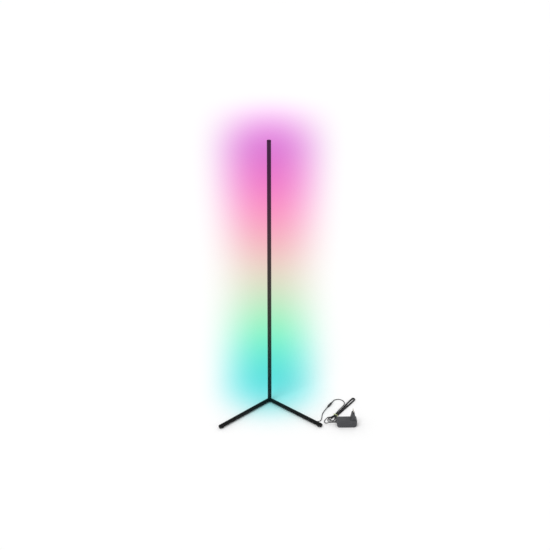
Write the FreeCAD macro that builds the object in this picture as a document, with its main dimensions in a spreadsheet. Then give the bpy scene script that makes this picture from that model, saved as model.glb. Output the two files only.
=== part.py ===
import FreeCAD, Part
import math
import os

import Sketcher

# Corner floor lamp: a slim pole whose light strips face the corner of a room, on a base of two legs
# that run along the walls, with its lead, its tied hank of cord and its plug-in supply.
# Millimetres. +Z is up, the origin is on the floor under the pole, the light faces +Y.

Vector = FreeCAD.Vector

SIZES = {
    # lamp
    "lamp_height": 1400, "tube_diameter": 20, "pole_wall": 1.5, "leg_wall": 1.5, "leg_reach": 358,
    "leg_half_angle": 45, "joint_collar": 14, "spigot_length": 17, "spigot_fit": 0.1,
    "foot_height": 2, "foot_diameter": 14, "foot_stem": 5, "foot_setback": 18, "cap_height": 6,
    "cap_round": 2.5, "cap_plug": 10, "ballast_length": 210, "ballast_fit": 0.4, "leg_screw_diameter": 4,
    "pole_screw_diameter": 4,
    # pole profile
    "shelf_front": 1, "shelf_thickness": 1.4, "channel_width": 12.4, "diffuser_fit": 0.15,
    "diffuser_wall": 1.1, "lit_start": 84, "splice_length": 60, "splice_screw_diameter": 3,
    "splice_screw_offset": 15, "splice_screw_line": 2.5, "splice_screw_depth": 2,
    # light strips
    "strip_width": 9, "strip_thickness": 0.4, "strip_end_gap": 5, "chip_size": 5, "chip_height": 1.6,
    "chip_pitch": 16.6, "chip_inset": 6, "link_length": 14, "link_width": 8, "link_thickness": 1.2,
    # receiver
    "board_width": 12, "board_length": 60, "board_thickness": 1.2, "board_start": 90, "board_gap": 1.6,
    "wire_diameter": 1.6, "wire_pitch": 2.2, "ribbon_width": 6, "ribbon_thickness": 0.8, "ribbon_room": 0.3,
    "driver_size": 7, "driver_height": 1.6, "driver_start": 26, "choke_diameter": 4.4, "choke_height": 3.4,
    "choke_start": 8, "switch_width": 4.4, "switch_length": 5.6, "switch_height": 1.3, "switch_start": 40,
    "switch_pitch": 8,
    # lead outlet
    "outlet_height": 48, "outlet_diameter": 8, "outlet_neck": 5, "outlet_reach": 20, "outlet_drop": 23,
    "outlet_end": 5.4,
    # cord and coupling
    "cord_diameter": 4, "coupling_diameter": 11, "socket_length": 34, "plug_length": 26,
    "barrel_diameter": 5.5, "barrel_length": 9.5, "barrel_wall": 1.2, "contact_pin": 2,
    "coupling_relief": 12,
    "coupling_taper": 3, "coupling_neck": 1.8, "coupling_lip": 0.8, "coupling_x": 296, "coupling_y": -76,
    "coupling_angle": 60,
    # hank
    "hank_x": 333, "hank_y": -154, "hank_angle": 56, "strand_pitch": 4.6, "layer_pitch": 5,
    "tie_width": 4, "tie_thickness": 1, "tie_clearance": 0.2, "far_reach": 188, "near_reach": 42,
    "last_strand": 75, "last_across": 10.6,
    # supply
    "supply_x": 330, "supply_y": -258, "supply_width": 100, "supply_depth": 46, "supply_height": 38,
    "supply_split": 25, "supply_wall": 2.2, "supply_round": 12, "supply_edge": 2.5,
    "neck_width": 27, "neck_top_width": 13.7, "neck_depth": 36, "neck_top_depth": 35.3,
    "neck_height": 34, "neck_inset": 5, "neck_bevel": 4, "pin_diameter": 4, "pin_spacing": 18.6,
    "pin_length": 19,
    "pin_sleeve_diameter": 4, "pin_sleeve_length": 10, "pin_root": 12, "circuit_length": 84,
    "circuit_depth": 36, "circuit_thickness": 1.6, "circuit_height": 7, "relief_length": 20,
    "relief_diameter": 8, "relief_height": 19, "core_length": 20, "core_width": 22, "core_offset": 4,
    "coil_diameter": 17, "capacitor_diameter": 10, "capacitor_height": 16, "capacitor_offset": 22,
    "capacitor_side": 8, "filter_diameter": 8, "filter_height": 12, "filter_offset": 28,
}

doc = FreeCAD.newDocument("CornerFloorLamp")
sheet = doc.addObject("Spreadsheet::Sheet", "Sizes")
for row, (alias, value) in enumerate(SIZES.items(), start=1):
    sheet.set(f"A{row}", alias.replace("_", " "))
    sheet.set(f"B{row}", str(value))
    sheet.setAlias(f"B{row}", alias)
doc.recompute()

NODES = []


def size(expression):
    """The value of an expression in the sheet's sizes."""
    return float(sheet.evalExpression(expression))


def bind(thing, name, expression):
    """Ties a property to an expression in which a size is written as Sizes.name."""
    thing.setExpression(name, expression)


def full(expression):
    """An expression with each size's name led by the sheet's name, as other objects need it."""
    words = []
    word = ""
    for letter in str(expression) + " ":
        if letter.isalnum() or letter in "_.":
            word += letter
            continue
        words.append("Sizes." + word if word in SIZES else word)
        words.append(letter)
        word = ""
    return "".join(words).strip()


def place(thing, x="0", y="0", z="0", turn="0"):
    """Ties a piece's place and its turn about Z."""
    for axis, expression in zip("xyz", (x, y, z)):
        bind(thing, "Placement.Base." + axis, full(expression))
    bind(thing, "Placement.Rotation.Angle", full(turn))


def node(thing, label):
    """Names a piece and counts it in."""
    thing.Label = label
    NODES.append(thing)
    return thing


def turned_body(turn="0", x="0", y="0", z="0"):
    """A body at a place, turned about Z."""
    body = doc.addObject("PartDesign::Body", "Body")
    body.Placement = FreeCAD.Placement(Vector(), FreeCAD.Rotation(Vector(0, 0, 1), 0))
    place(body, x, y, z, turn)
    return body


def new_body(label, turn="0", x="0", y="0", z="0"):
    """A body that is a piece of its own."""
    return node(turned_body(turn, x, y, z), label)


def new_sketch(body, role, offset="0"):
    """A sketch on one of the body's own planes, moved off it along the plane's normal."""
    plane = [feature for feature in body.Origin.OriginFeatures if feature.Role == role][0]
    sketch = body.newObject("Sketcher::SketchObject", "Sketch")
    sketch.AttachmentSupport = [(plane, "")]
    sketch.MapMode = "FlatFace"
    bind(sketch, "AttachmentOffset.Base.z", full(offset))
    return sketch


def fix_point(sketch, edge, end, x, y):
    """Ties a point of a sketch to its distances from the sketch's origin."""
    for kind, expression in (("DistanceX", x), ("DistanceY", y)):
        index = sketch.addConstraint(Sketcher.Constraint(kind, -1, 1, edge, end, size(expression)))
        bind(sketch, f"Constraints[{index}]", full(expression))


def circle(sketch, radius, x="0", y="0"):
    """Adds a circle to a sketch."""
    centre = Vector(size(x), size(y), 0)
    edge = sketch.addGeometry(Part.Circle(centre, Vector(0, 0, 1), size(radius)), False)
    fix_point(sketch, edge, 3, x, y)
    index = sketch.addConstraint(Sketcher.Constraint("Radius", edge, size(radius)))
    bind(sketch, f"Constraints[{index}]", full(radius))


def polygon(sketch, corners):
    """Adds a closed outline of straight sides to a sketch, from pairs of expressions."""
    points = [Vector(size(x), size(y), 0) for x, y in corners]
    edges = [
        sketch.addGeometry(Part.LineSegment(start, end), False)
        for start, end in zip(points, points[1:] + points[:1])
    ]
    for edge, following in zip(edges, edges[1:] + edges[:1]):
        sketch.addConstraint(Sketcher.Constraint("Coincident", edge, 2, following, 1))
    for edge, (x, y) in zip(edges, corners):
        fix_point(sketch, edge, 1, x, y)


def rectangle(sketch, low, high):
    """Adds a rectangle between two corners to a sketch."""
    polygon(sketch, (low, (high[0], low[1]), high, (low[0], high[1])))


def segment(sketch, radius, chord):
    """Adds the piece of a disc below a chord at a height over the disc's centre."""
    r, height = size(radius), size(chord)
    half = math.sqrt(r * r - height * height)
    first = math.atan2(height, -half)
    last = math.atan2(height, half) + 2 * math.pi
    arc = sketch.addGeometry(
        Part.ArcOfCircle(Part.Circle(Vector(), Vector(0, 0, 1), r), first, last), False)
    start, end = Vector(half, height, 0), Vector(-half, height, 0)
    line = sketch.addGeometry(Part.LineSegment(start, end), False)
    sketch.addConstraint(Sketcher.Constraint("Coincident", arc, 3, -1, 1))
    index = sketch.addConstraint(Sketcher.Constraint("Radius", arc, r))
    bind(sketch, f"Constraints[{index}]", full(radius))
    sketch.addConstraint(Sketcher.Constraint("Coincident", arc, 2, line, 1))
    sketch.addConstraint(Sketcher.Constraint("Coincident", line, 2, arc, 1))
    for point in (1, 2):
        index = sketch.addConstraint(Sketcher.Constraint("DistanceY", -1, 1, line, point, height))
        bind(sketch, f"Constraints[{index}]", full(chord))


def pad(body, sketch, length, back=False, both=False):
    """Raises a sketch into a solid."""
    feature = body.newObject("PartDesign::Pad", "Pad")
    feature.Profile = sketch
    feature.Length = size(length)
    bind(feature, "Length", full(length))
    feature.Reversed = back
    feature.Midplane = both
    return feature


def pocket(body, sketch, length, back=False, both=False):
    """Cuts a sketch's outline out of a body, and makes sure that it cuts."""
    doc.recompute()
    before = body.Shape.Volume
    feature = body.newObject("PartDesign::Pocket", "Pocket")
    feature.Profile = sketch
    feature.Length = size(length)
    bind(feature, "Length", full(length))
    feature.Reversed = back
    feature.Midplane = both
    doc.recompute()
    if body.Shape.Volume >= before:
        raise RuntimeError(f"a pocket of {body.Label} cuts nothing")
    return feature


def round_edges(body, radius, wanted, kind="Fillet"):
    """Rounds or bevels the edges of a body that a test picks."""
    doc.recompute()
    tip = body.Tip
    names = [f"Edge{i}" for i, edge in enumerate(tip.Shape.Edges, start=1) if wanted(edge)]
    feature = body.newObject("PartDesign::" + kind, kind)
    feature.Base = (tip, names)
    bind(feature, "Radius" if kind == "Fillet" else "Size", full(radius))
    return feature


def ring_at(axis, place_on_axis):
    """A test for round edges that lie at one height of an axis."""
    def wanted(edge):
        box = edge.BoundBox
        low, high = getattr(box, axis + "Min"), getattr(box, axis + "Max")
        flat = abs(low - place_on_axis) < 1e-4 and abs(high - place_on_axis) < 1e-4
        return flat and edge.Curve.TypeId == "Part::GeomCircle"
    return wanted


def block(low, lengths):
    """A box, its corner and sides tied."""
    box = doc.addObject("Part::Box", "Box")
    for name, expression in zip(("Length", "Width", "Height"), lengths):
        bind(box, name, full(expression))
    for axis, expression in zip("xyz", low):
        bind(box, "Placement.Base." + axis, full(expression))
    return box


def rod(radius, length, x="0", y="0", z="0", along="Z"):
    """A cylinder along one axis, its foot's centre and its sizes tied."""
    turns = {"Z": (Vector(0, 0, 1), 0), "X": (Vector(0, 1, 0), 90), "Y": (Vector(1, 0, 0), -90)}
    cylinder = doc.addObject("Part::Cylinder", "Rod")
    cylinder.Placement = FreeCAD.Placement(Vector(), FreeCAD.Rotation(*turns[along]))
    bind(cylinder, "Radius", full(radius))
    bind(cylinder, "Height", full(length))
    for axis, expression in zip("xyz", (x, y, z)):
        bind(cylinder, "Placement.Base." + axis, full(expression))
    return cylinder


def cut(base, tool):
    """One solid less another."""
    feature = doc.addObject("Part::Cut", "Cut")
    feature.Base = base
    feature.Tool = tool
    return feature


def fuse(*pieces):
    """Solids joined into one."""
    feature = doc.addObject("Part::MultiFuse", "Fuse")
    feature.Shapes = list(pieces)
    return feature


def group(*pieces):
    """Solids that stay apart and share a name."""
    feature = doc.addObject("Part::Compound", "Group")
    feature.Links = list(pieces)
    return feature


def shaped(label, shape, place_of_shape=FreeCAD.Placement()):
    """A piece whose shape is worked out from the sizes."""
    feature = doc.addObject("Part::Feature", "Shaped_" + label)
    feature.Shape = shape
    feature.Placement = place_of_shape
    return node(feature, label)


def leg_rod(radius, length, turn, z="0"):
    """A round bar from the pole's axis along a leg."""
    body = turned_body(turn=turn, z=z)
    outline = new_sketch(body, "YZ_Plane")
    circle(outline, radius)
    pad(body, outline, length)
    return body


RADIUS = "tube_diameter / 2"
AXIS_HEIGHT = "(foot_height + tube_diameter / 2)"
JOINT_TOP = f"({AXIS_HEIGHT} + joint_collar)"
POLE_BORE = "(tube_diameter / 2 - pole_wall)"
LEG_BORE = "(tube_diameter / 2 - leg_wall)"
SECTION = f"((lamp_height - cap_height - {JOINT_TOP}) / 3)"
SHELF_BACK = "(shelf_front + shelf_thickness)"
CHANNEL_HALF = "(channel_width / 2)"
SCREW_LINE = "(0 - splice_screw_line)"
GRUB_SIDE = "(splice_screw_line + splice_screw_diameter / 2)"
GRUB_END = f"(sqrt(pow({RADIUS}; 2) - pow({GRUB_SIDE}; 2)) - 0.1)"
RIBBON_LOW = "(lit_start + 0.4)"
BOARD_FRONT = "(shelf_front - board_gap - board_thickness)"
SECTIONS = ("lower", "middle", "upper")
SECTION_JOINTS = ("lower", "upper")
SCREW_REACH = "(joint_collar + spigot_length / 2)"
LEGS = {"left": "270 - leg_half_angle", "right": "270 + leg_half_angle"}


# Base


def make_corner_joint():
    """The cast elbow: a ball where three stubs meet, each with a spigot for its tube."""
    ball = doc.addObject("Part::Sphere", "Ball")
    bind(ball, "Radius", full(RADIUS))
    stubs = [ball, rod(RADIUS, "joint_collar")]
    spigot_ends = "joint_collar + spigot_length"
    stubs.append(rod(f"{POLE_BORE} - spigot_fit", spigot_ends))
    for turn in LEGS.values():
        for radius, reach in ((RADIUS, "joint_collar"), (f"{LEG_BORE} - spigot_fit", spigot_ends)):
            stubs.append(leg_rod(radius, reach, turn))
    shelf = block(
        (f"0 - {RADIUS}", "shelf_front - spigot_fit", "joint_collar"),
        ("tube_diameter", "tube_diameter", "spigot_length + 1"))
    screw_hole = rod(
        "pole_screw_diameter / 2", f"2 * {RADIUS}", y=f"0 - {RADIUS} / 2",
        z="joint_collar + spigot_length / 2", along="Y")
    joint = cut(cut(fuse(*stubs), shelf), screw_hole)
    for turn in LEGS.values():
        screw_hole = rod(
            "leg_screw_diameter / 2", RADIUS, x=f"{SCREW_REACH} * cos({turn})",
            y=f"{SCREW_REACH} * sin({turn})", z=f"0 - {RADIUS}")
        joint = cut(joint, screw_hole)
    joint = cut(joint, rod("foot_stem / 2", "foot_height + 4", z=f"0 - {RADIUS}"))
    place(joint, z=AXIS_HEIGHT)
    return node(joint, "corner_joint")


def make_leg(side, turn):
    """A leg's tube, its ballast bar, its end cap and its rubber foot, along the leg's own X axis."""
    tube_end = "(leg_reach - cap_height)"
    foot_place = "(leg_reach - foot_setback)"
    leg = new_body(side + "_leg", turn=turn, z=AXIS_HEIGHT)
    outline = new_sketch(leg, "YZ_Plane", "joint_collar")
    circle(outline, RADIUS)
    circle(outline, LEG_BORE)
    pad(leg, outline, f"{tube_end} - joint_collar")
    holes = new_sketch(leg, "XY_Plane")
    circle(holes, "foot_stem / 2", x=foot_place)
    circle(holes, "leg_screw_diameter / 2", x="joint_collar + spigot_length / 2")
    pocket(leg, holes, "tube_diameter")

    bar_start = "(joint_collar + spigot_length + 2)"
    bar = new_body(side + "_leg_ballast", turn=turn, z=AXIS_HEIGHT)
    outline = new_sketch(bar, "YZ_Plane", bar_start)
    circle(outline, f"{LEG_BORE} - ballast_fit")
    pad(bar, outline, "ballast_length")
    round_edges(bar, "cap_round / 2", lambda edge: edge.Curve.TypeId == "Part::GeomCircle", "Chamfer")

    cap = new_body(side + "_end_cap", turn=turn, z=AXIS_HEIGHT)
    outline = new_sketch(cap, "YZ_Plane", tube_end)
    circle(outline, RADIUS)
    pad(cap, outline, "cap_height")
    round_edges(cap, "cap_round", ring_at("X", size("leg_reach")))
    outline = new_sketch(cap, "YZ_Plane", tube_end)
    circle(outline, f"{LEG_BORE} - spigot_fit")
    circle(outline, f"{LEG_BORE} - spigot_fit - leg_wall")
    pad(cap, outline, "foot_setback - foot_stem - cap_height", back=True)

    pad_disc = rod("foot_diameter / 2", "foot_height + 2", x=foot_place, z=f"0 - {AXIS_HEIGHT}")
    saddle = rod(RADIUS, "2 * foot_diameter", x=f"{foot_place} - foot_diameter", along="X")
    stem = rod("foot_stem / 2", "foot_height + leg_wall + 2", x=foot_place, z=f"0 - {AXIS_HEIGHT}")
    foot = fuse(cut(pad_disc, saddle), stem)
    place(foot, z=AXIS_HEIGHT, turn=turn)
    node(foot, side + "_foot")


def make_base():
    """The joint, both legs, the foot under the joint and the screws that hold the tubes."""
    make_corner_joint()
    for side, turn in LEGS.items():
        make_leg(side, turn)
    pad_disc = rod("foot_diameter / 2", "foot_height + 3")
    ball = doc.addObject("Part::Sphere", "Ball")
    bind(ball, "Radius", full(RADIUS))
    bind(ball, "Placement.Base.z", full(AXIS_HEIGHT))
    foot = cut(pad_disc, ball)
    for turn in LEGS.values():
        foot = cut(foot, leg_rod(RADIUS, "joint_collar", turn, z=AXIS_HEIGHT))
    node(fuse(foot, rod("foot_stem / 2 - spigot_fit", "foot_height + 3.5")), "corner_foot")

    screws = []
    for turn in LEGS.values():
        screws.append(rod(
            "leg_screw_diameter / 2", f"{RADIUS} * 0.6", x=f"{SCREW_REACH} * cos({turn})",
            y=f"{SCREW_REACH} * sin({turn})", z="foot_height + leg_wall / 3"))
    node(group(*screws), "leg_screws")
    height = f"({JOINT_TOP} + spigot_length / 2)"
    shank = rod(
        "pole_screw_diameter / 2", f"{SHELF_BACK} + {RADIUS} / 2", y=f"0 - {RADIUS} / 2", z=height,
        along="Y")
    head = rod("pole_screw_diameter * 0.85", "pole_screw_diameter / 2", y=SHELF_BACK, z=height, along="Y")
    node(fuse(shank, head), "pole_screw")


# Pole


def make_section(name, index):
    """One extruded length of the pole: a front chamber for wires, a shelf, and a channel at the back."""
    start = f"({JOINT_TOP} + {index} * {SECTION})"
    section = new_body(name + "_section")
    outline = new_sketch(section, "XY_Plane", start)
    circle(outline, RADIUS)
    pad(section, outline, SECTION)
    chamber = new_sketch(section, "XY_Plane", start)
    segment(chamber, POLE_BORE, "shelf_front")
    pocket(section, chamber, SECTION, back=True)
    channel = new_sketch(section, "XY_Plane", start)
    rectangle(
        channel, (f"0 - {CHANNEL_HALF}", SHELF_BACK), (CHANNEL_HALF, "tube_diameter"))
    pocket(section, channel, SECTION, back=True)
    joints = []
    if index > 0:
        joints.append(f"({start} + splice_screw_offset)")
    if index < 2:
        joints.append(f"({start} + {SECTION} - splice_screw_offset)")
    for height in joints:
        hole = new_sketch(section, "YZ_Plane")
        circle(hole, "splice_screw_diameter / 2", x=SCREW_LINE, y=height)
        pocket(section, hole, "tube_diameter", back=True)
    if index == 0:
        holes = new_sketch(section, "XZ_Plane")
        circle(holes, "pole_screw_diameter / 2", y=f"{JOINT_TOP} + spigot_length / 2")
        circle(holes, "outlet_neck / 2", y="outlet_height")
        rectangle(
            holes, ("0 - ribbon_width / 2 - ribbon_room", RIBBON_LOW),
            ("ribbon_width / 2 + ribbon_room", f"{RIBBON_LOW} + 3"))
        pocket(section, holes, SHELF_BACK)


def make_splice(name, index):
    """The bar inside two sections that joins them, with a way through for the wires."""
    middle = f"({JOINT_TOP} + {index} * {SECTION})"
    splice = new_body(name + "_splice")
    outline = new_sketch(splice, "XY_Plane", f"{middle} - splice_length / 2")
    segment(outline, f"{POLE_BORE} - spigot_fit", "shelf_front - spigot_fit")
    pad(splice, outline, "splice_length")
    hole = new_sketch(splice, "YZ_Plane")
    for sign in "-+":
        circle(hole, "splice_screw_diameter / 2", x=SCREW_LINE, y=f"{middle} {sign} splice_screw_offset")
    pocket(splice, hole, "tube_diameter", back=True)


def make_splice_screws():
    """The grub screws that hold the sections to their splices, four along one side of the pole."""
    screws = []
    for index in range(1, len(SECTIONS)):
        for sign in "-+":
            height = f"{JOINT_TOP} + {index} * {SECTION} {sign} splice_screw_offset"
            screws.append(rod(
                "splice_screw_diameter / 2", f"{GRUB_END} - splice_screw_depth", x="splice_screw_depth",
                y=SCREW_LINE, z=height, along="X"))
    node(group(*screws), "splice_screws")


def make_light(name, index):
    """A section's strip, its chips and the milky cover that closes its channel."""
    start = f"({JOINT_TOP} + {index} * {SECTION})"
    first = "lit_start" if index == 0 else start
    end = f"({start} + {SECTION})"
    strip_start = f"({first} + strip_end_gap)"
    strip_length = f"({end} - {first} - 2 * strip_end_gap)"
    node(block(
        ("0 - strip_width / 2", SHELF_BACK, strip_start),
        ("strip_width", "strip_thickness", strip_length)), name + "_led_strip")
    chips = []
    count = int((size(strip_length) - size("chip_size + 2 * chip_inset")) // size("chip_pitch")) + 1
    for number in range(count):
        chips.append(block(
            ("0 - chip_size / 2", f"{SHELF_BACK} + strip_thickness",
             f"{strip_start} + chip_inset + {number} * chip_pitch"),
            ("chip_size", "chip_height", "chip_size")))
    node(group(*chips), name + "_led_chips")
    make_cover(name + "_diffuser", first, f"({end} - {first})")


def make_cover(label, start, length):
    """A cover that closes the channel flush with the tube's round, on two legs that stand on the shelf."""
    half = f"({CHANNEL_HALF} - diffuser_fit)"
    cover = new_body(label)
    outline = new_sketch(cover, "XY_Plane", start)
    circle(outline, RADIUS)
    pad(cover, outline, length)
    sides = new_sketch(cover, "XY_Plane", start)
    rectangle(sides, (f"0 - {half}", SHELF_BACK), (half, f"{RADIUS} * 2"))
    circle(sides, f"{RADIUS} * 3")
    pocket(cover, sides, length, back=True)
    hollow = new_sketch(cover, "XY_Plane", start)
    rise = f"sqrt(pow({RADIUS} - diffuser_wall; 2) - pow({half} - diffuser_wall; 2))"
    rectangle(hollow, (f"diffuser_wall - {half}", "0"), (f"{half} - diffuser_wall", rise))
    pocket(cover, hollow, length, back=True)
    return cover


def make_cap():
    """The pole's top: a disc with a rounded rim over a plug that fills the front chamber."""
    cap = new_body("top_cap")
    outline = new_sketch(cap, "XY_Plane", "lamp_height - cap_height")
    circle(outline, RADIUS)
    pad(cap, outline, "cap_height")
    round_edges(cap, "cap_round", ring_at("Z", size("lamp_height")))
    outline = new_sketch(cap, "XY_Plane", "lamp_height - cap_height")
    segment(outline, f"{POLE_BORE} - spigot_fit", "shelf_front - spigot_fit")
    pad(cap, outline, "cap_plug", back=True)


def make_receiver():
    """The board that drives the strips, its parts, and the wires to and from it."""
    low = BOARD_FRONT
    board = ("0 - board_width / 2", low, "board_start")
    node(block(board, ("board_width", "board_thickness", "board_length")), "receiver_board")
    parts = [
        block(
            ("0 - driver_size / 2", f"{low} - driver_height", "board_start + driver_start"),
            ("driver_size", "driver_height", "driver_size")),
        rod("choke_diameter / 2", "choke_height", y=f"{low} - choke_height", z="board_start + choke_start",
            along="Y"),
    ]
    for number in range(4):
        column, row_of_two = number % 2, number // 2
        parts.append(block(
            (f"{column} * (switch_width + 1) - switch_width - 0.5", f"{low} - switch_height",
             f"board_start + switch_start + {row_of_two} * switch_pitch"),
            ("switch_width", "switch_height", "switch_length")))
    node(group(*parts), "receiver_parts")
    wires = [
        rod("wire_diameter / 2", "board_start - outlet_height + 7", x=f"{sign} wire_pitch / 2",
            y=f"{low} - wire_diameter / 2", z="outlet_height - 2")
        for sign in ("0 -", "0 +")]
    node(group(*wires), "supply_wires")
    side = "0 - ribbon_width / 2"
    through = f"({SHELF_BACK} + strip_thickness)"
    ribbon = fuse(
        block((side, low, RIBBON_LOW), ("ribbon_width", "board_thickness", f"board_start - {RIBBON_LOW}")),
        block(
            (side, low, RIBBON_LOW),
            ("ribbon_width", f"{through} + ribbon_thickness - {low}", "ribbon_thickness")),
        block((side, through, RIBBON_LOW),
              ("ribbon_width", "ribbon_thickness", f"lit_start + strip_end_gap + 3 - {RIBBON_LOW}")))
    node(ribbon, "strip_ribbon")


def make_links():
    """The flat connectors that carry the current from one section's strip to the next."""
    for index, name in enumerate(SECTION_JOINTS, start=1):
        node(block(
            ("0 - link_width / 2", f"{SHELF_BACK} + strip_thickness",
             f"{JOINT_TOP} + {index} * {SECTION} - link_length / 2"),
            ("link_width", "link_thickness", "link_length")), name + "_strip_link")


def make_outlet():
    """The cover at the pole's foot and the rubber elbow that leads the cord down behind the pole."""
    cover = make_cover("cable_cover", JOINT_TOP, f"lit_start - {JOINT_TOP}")
    hole = new_sketch(cover, "XZ_Plane")
    circle(hole, "outlet_neck / 2", y="outlet_height")
    pocket(cover, hole, "tube_diameter", back=False)
    neck = rod(
        "outlet_neck / 2", f"outlet_reach - {BOARD_FRONT}", y=BOARD_FRONT, z="outlet_height", along="Y")
    arm = rod("outlet_diameter / 2", f"outlet_reach - {RADIUS}", y=RADIUS, z="outlet_height", along="Y")
    elbow = doc.addObject("Part::Sphere", "Elbow")
    bind(elbow, "Radius", full("outlet_diameter / 2"))
    sleeve = doc.addObject("Part::Cone", "Sleeve")
    bind(sleeve, "Radius1", full("outlet_end / 2"))
    bind(sleeve, "Radius2", full("outlet_diameter / 2"))
    bind(sleeve, "Height", full("outlet_drop"))
    for piece, height in ((elbow, "outlet_height"), (sleeve, "outlet_height - outlet_drop")):
        bind(piece, "Placement.Base.y", full("outlet_reach"))
        bind(piece, "Placement.Base.z", full(height))
    node(fuse(neck, arm, elbow, sleeve), "lead_outlet")


# Cords


def vector(expressions):
    """A point from three expressions or numbers."""
    return Vector(*(size(str(value)) for value in expressions))


def tube_path(points, label):
    """Straight runs joined by tangent arcs, each as large as its two runs allow."""
    edges = []
    start = points[0]
    radii = []
    for before, corner, after in zip(points, points[1:], points[2:]):
        to_corner, from_corner = (corner - before), (after - corner)
        shorter = min(to_corner.Length, from_corner.Length)
        to_corner.normalize()
        from_corner.normalize()
        turn = to_corner.getAngle(from_corner)
        reach = 0.45 * shorter
        radius = reach / math.tan(turn / 2)
        radii.append(radius)
        arc_start, arc_end = corner - to_corner * reach, corner + from_corner * reach
        inwards = (from_corner - to_corner).normalize()
        middle = corner + inwards * radius * (1 / math.cos(turn / 2) - 1)
        edges.append(Part.LineSegment(start, arc_start).toShape())
        edges.append(Part.Arc(arc_start, middle, arc_end).toShape())
        start = arc_end
    edges.append(Part.LineSegment(start, points[-1]).toShape())
    print(label, "radii", " ".join(f"{radius:.0f}" for radius in radii))
    return Part.Wire(edges)


def sweep(path, diameter, label):
    """A round tube along a path, its volume compared with its section times its length."""
    start = path.Edges[0]
    heading = start.tangentAt(start.FirstParameter)
    ring = Part.Wire(Part.Circle(start.valueAt(start.FirstParameter), heading, diameter / 2).toShape())
    tube = path.makePipeShell([ring], True, False)
    share = tube.Volume / (math.pi * diameter ** 2 / 4 * path.Length)
    print(f"{label} length {path.Length:.0f} mm, volume over section times length {share:.4f}")
    return tube


def cord_tube(label, points):
    """A free stretch of cord along its route."""
    return shaped(label, sweep(tube_path(points, label), size("cord_diameter"), label))


def hank_point(along, across, height=0.0):
    """A point in the hank's own directions, from the tie along the bundle and to its left."""
    angle = math.radians(size("hank_angle"))
    return Vector(
        size("hank_x") + along * math.cos(angle) - across * math.sin(angle),
        size("hank_y") + along * math.sin(angle) + across * math.cos(angle), height)


def lazy_bend(start, end, heading):
    """Two equal arcs from one point to another with the same heading at both."""
    offset = end - start
    forward = heading.dot(offset)
    sideways = offset - heading * forward
    if sideways.Length < 0.01:
        return [Part.LineSegment(start, end).toShape()]
    radius = offset.Length ** 2 / (4 * sideways.Length)
    sideways.normalize()
    middle = (start + end) * 0.5
    half_turn = math.asin(offset.Length / (4 * radius))
    shift = heading * (radius * math.sin(half_turn)) + sideways * (radius * (1 - math.cos(half_turn)))
    return [
        Part.Arc(start, start + shift, middle).toShape(),
        Part.Arc(middle, end - shift, end).toShape(),
    ]


# Each loop's near end: how far it reaches to the left and to the right of the bundle's line.
NEAR_WIDTHS = ((29, 21), (20, 10), (7, 14))


def hank_loops():
    """Each loop's own sizes: half widths at the near end, the tie and the far end, and its height."""
    pitch, thick = size("strand_pitch"), size("cord_diameter")
    low = thick / 2
    high = low + size("layer_pitch")
    fold = 1.4 * thick
    outer, inner = 1.5 * pitch, 0.5 * pitch
    shapes = ((outer, fold + pitch, low), (inner, fold, low), (inner, fold + pitch / 2, high))
    return [
        {"left": left, "right": right, "tie": tie, "far": far, "start": low, "height": height}
        for (left, right), (tie, far, height) in zip(NEAR_WIDTHS, shapes)
    ]


def hank_path():
    """The hank as one line: three loops drawn in at the tie, in two layers, and a last strand out."""
    near, far = -size("near_reach"), size("far_reach")
    lift = size("tie_thickness") + size("tie_clearance") / 2
    ahead = hank_point(1, 0) - hank_point(0, 0)
    back = ahead * -1
    loops = hank_loops()
    edges = []
    thick = size("cord_diameter")
    at = hank_point(near, loops[0]["left"], loops[0]["start"])
    edges.append(Part.LineSegment(at - ahead * thick, at).toShape())
    for loop, following in zip(loops, loops[1:] + [None]):
        z, tie_z = loop["height"], loop["height"] + lift
        tie_left = hank_point(0, loop["tie"], tie_z)
        far_left, far_right = hank_point(far, loop["far"], z), hank_point(far, -loop["far"], z)
        tie_right = hank_point(0, -loop["tie"], tie_z)
        next_z = following["start"] if following else z
        next_left = following["left"] if following else loop["right"]
        near_right = hank_point(near, -loop["right"], next_z)
        near_left = hank_point(near, next_left, next_z)
        edges += lazy_bend(at, tie_left, ahead) + lazy_bend(tie_left, far_left, ahead)
        edges.append(Part.Arc(far_left, hank_point(far + loop["far"], 0, z), far_right).toShape())
        edges += lazy_bend(far_right, tie_right, back) + lazy_bend(tie_right, near_right, back)
        radius = (loop["right"] + next_left) / 2
        edges.append(Part.Arc(
            near_right, hank_point(near - radius, next_left - radius, next_z), near_left).toShape())
        at = near_left
    last = hank_point(0, 1.5 * size("strand_pitch"), tie_z)
    end = hank_point(size("last_strand"), size("last_across"), tie_z)
    edges += lazy_bend(at, last, ahead) + lazy_bend(last, end - ahead * thick, ahead)
    edges.append(Part.LineSegment(end - ahead * thick, end).toShape())
    return Part.Wire(edges)


def least_gap(path, diameter):
    """The least distance between two turns of a tube, measured on points along its line."""
    step = 1.5
    points = path.discretize(int(path.Length / step))
    apart = int(3 * diameter / step)
    least = min(
        (one - other).Length
        for index, one in enumerate(points)
        for other in points[index + apart:]
        if abs(one.x - other.x) < 3 * diameter)
    return least - diameter


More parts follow.
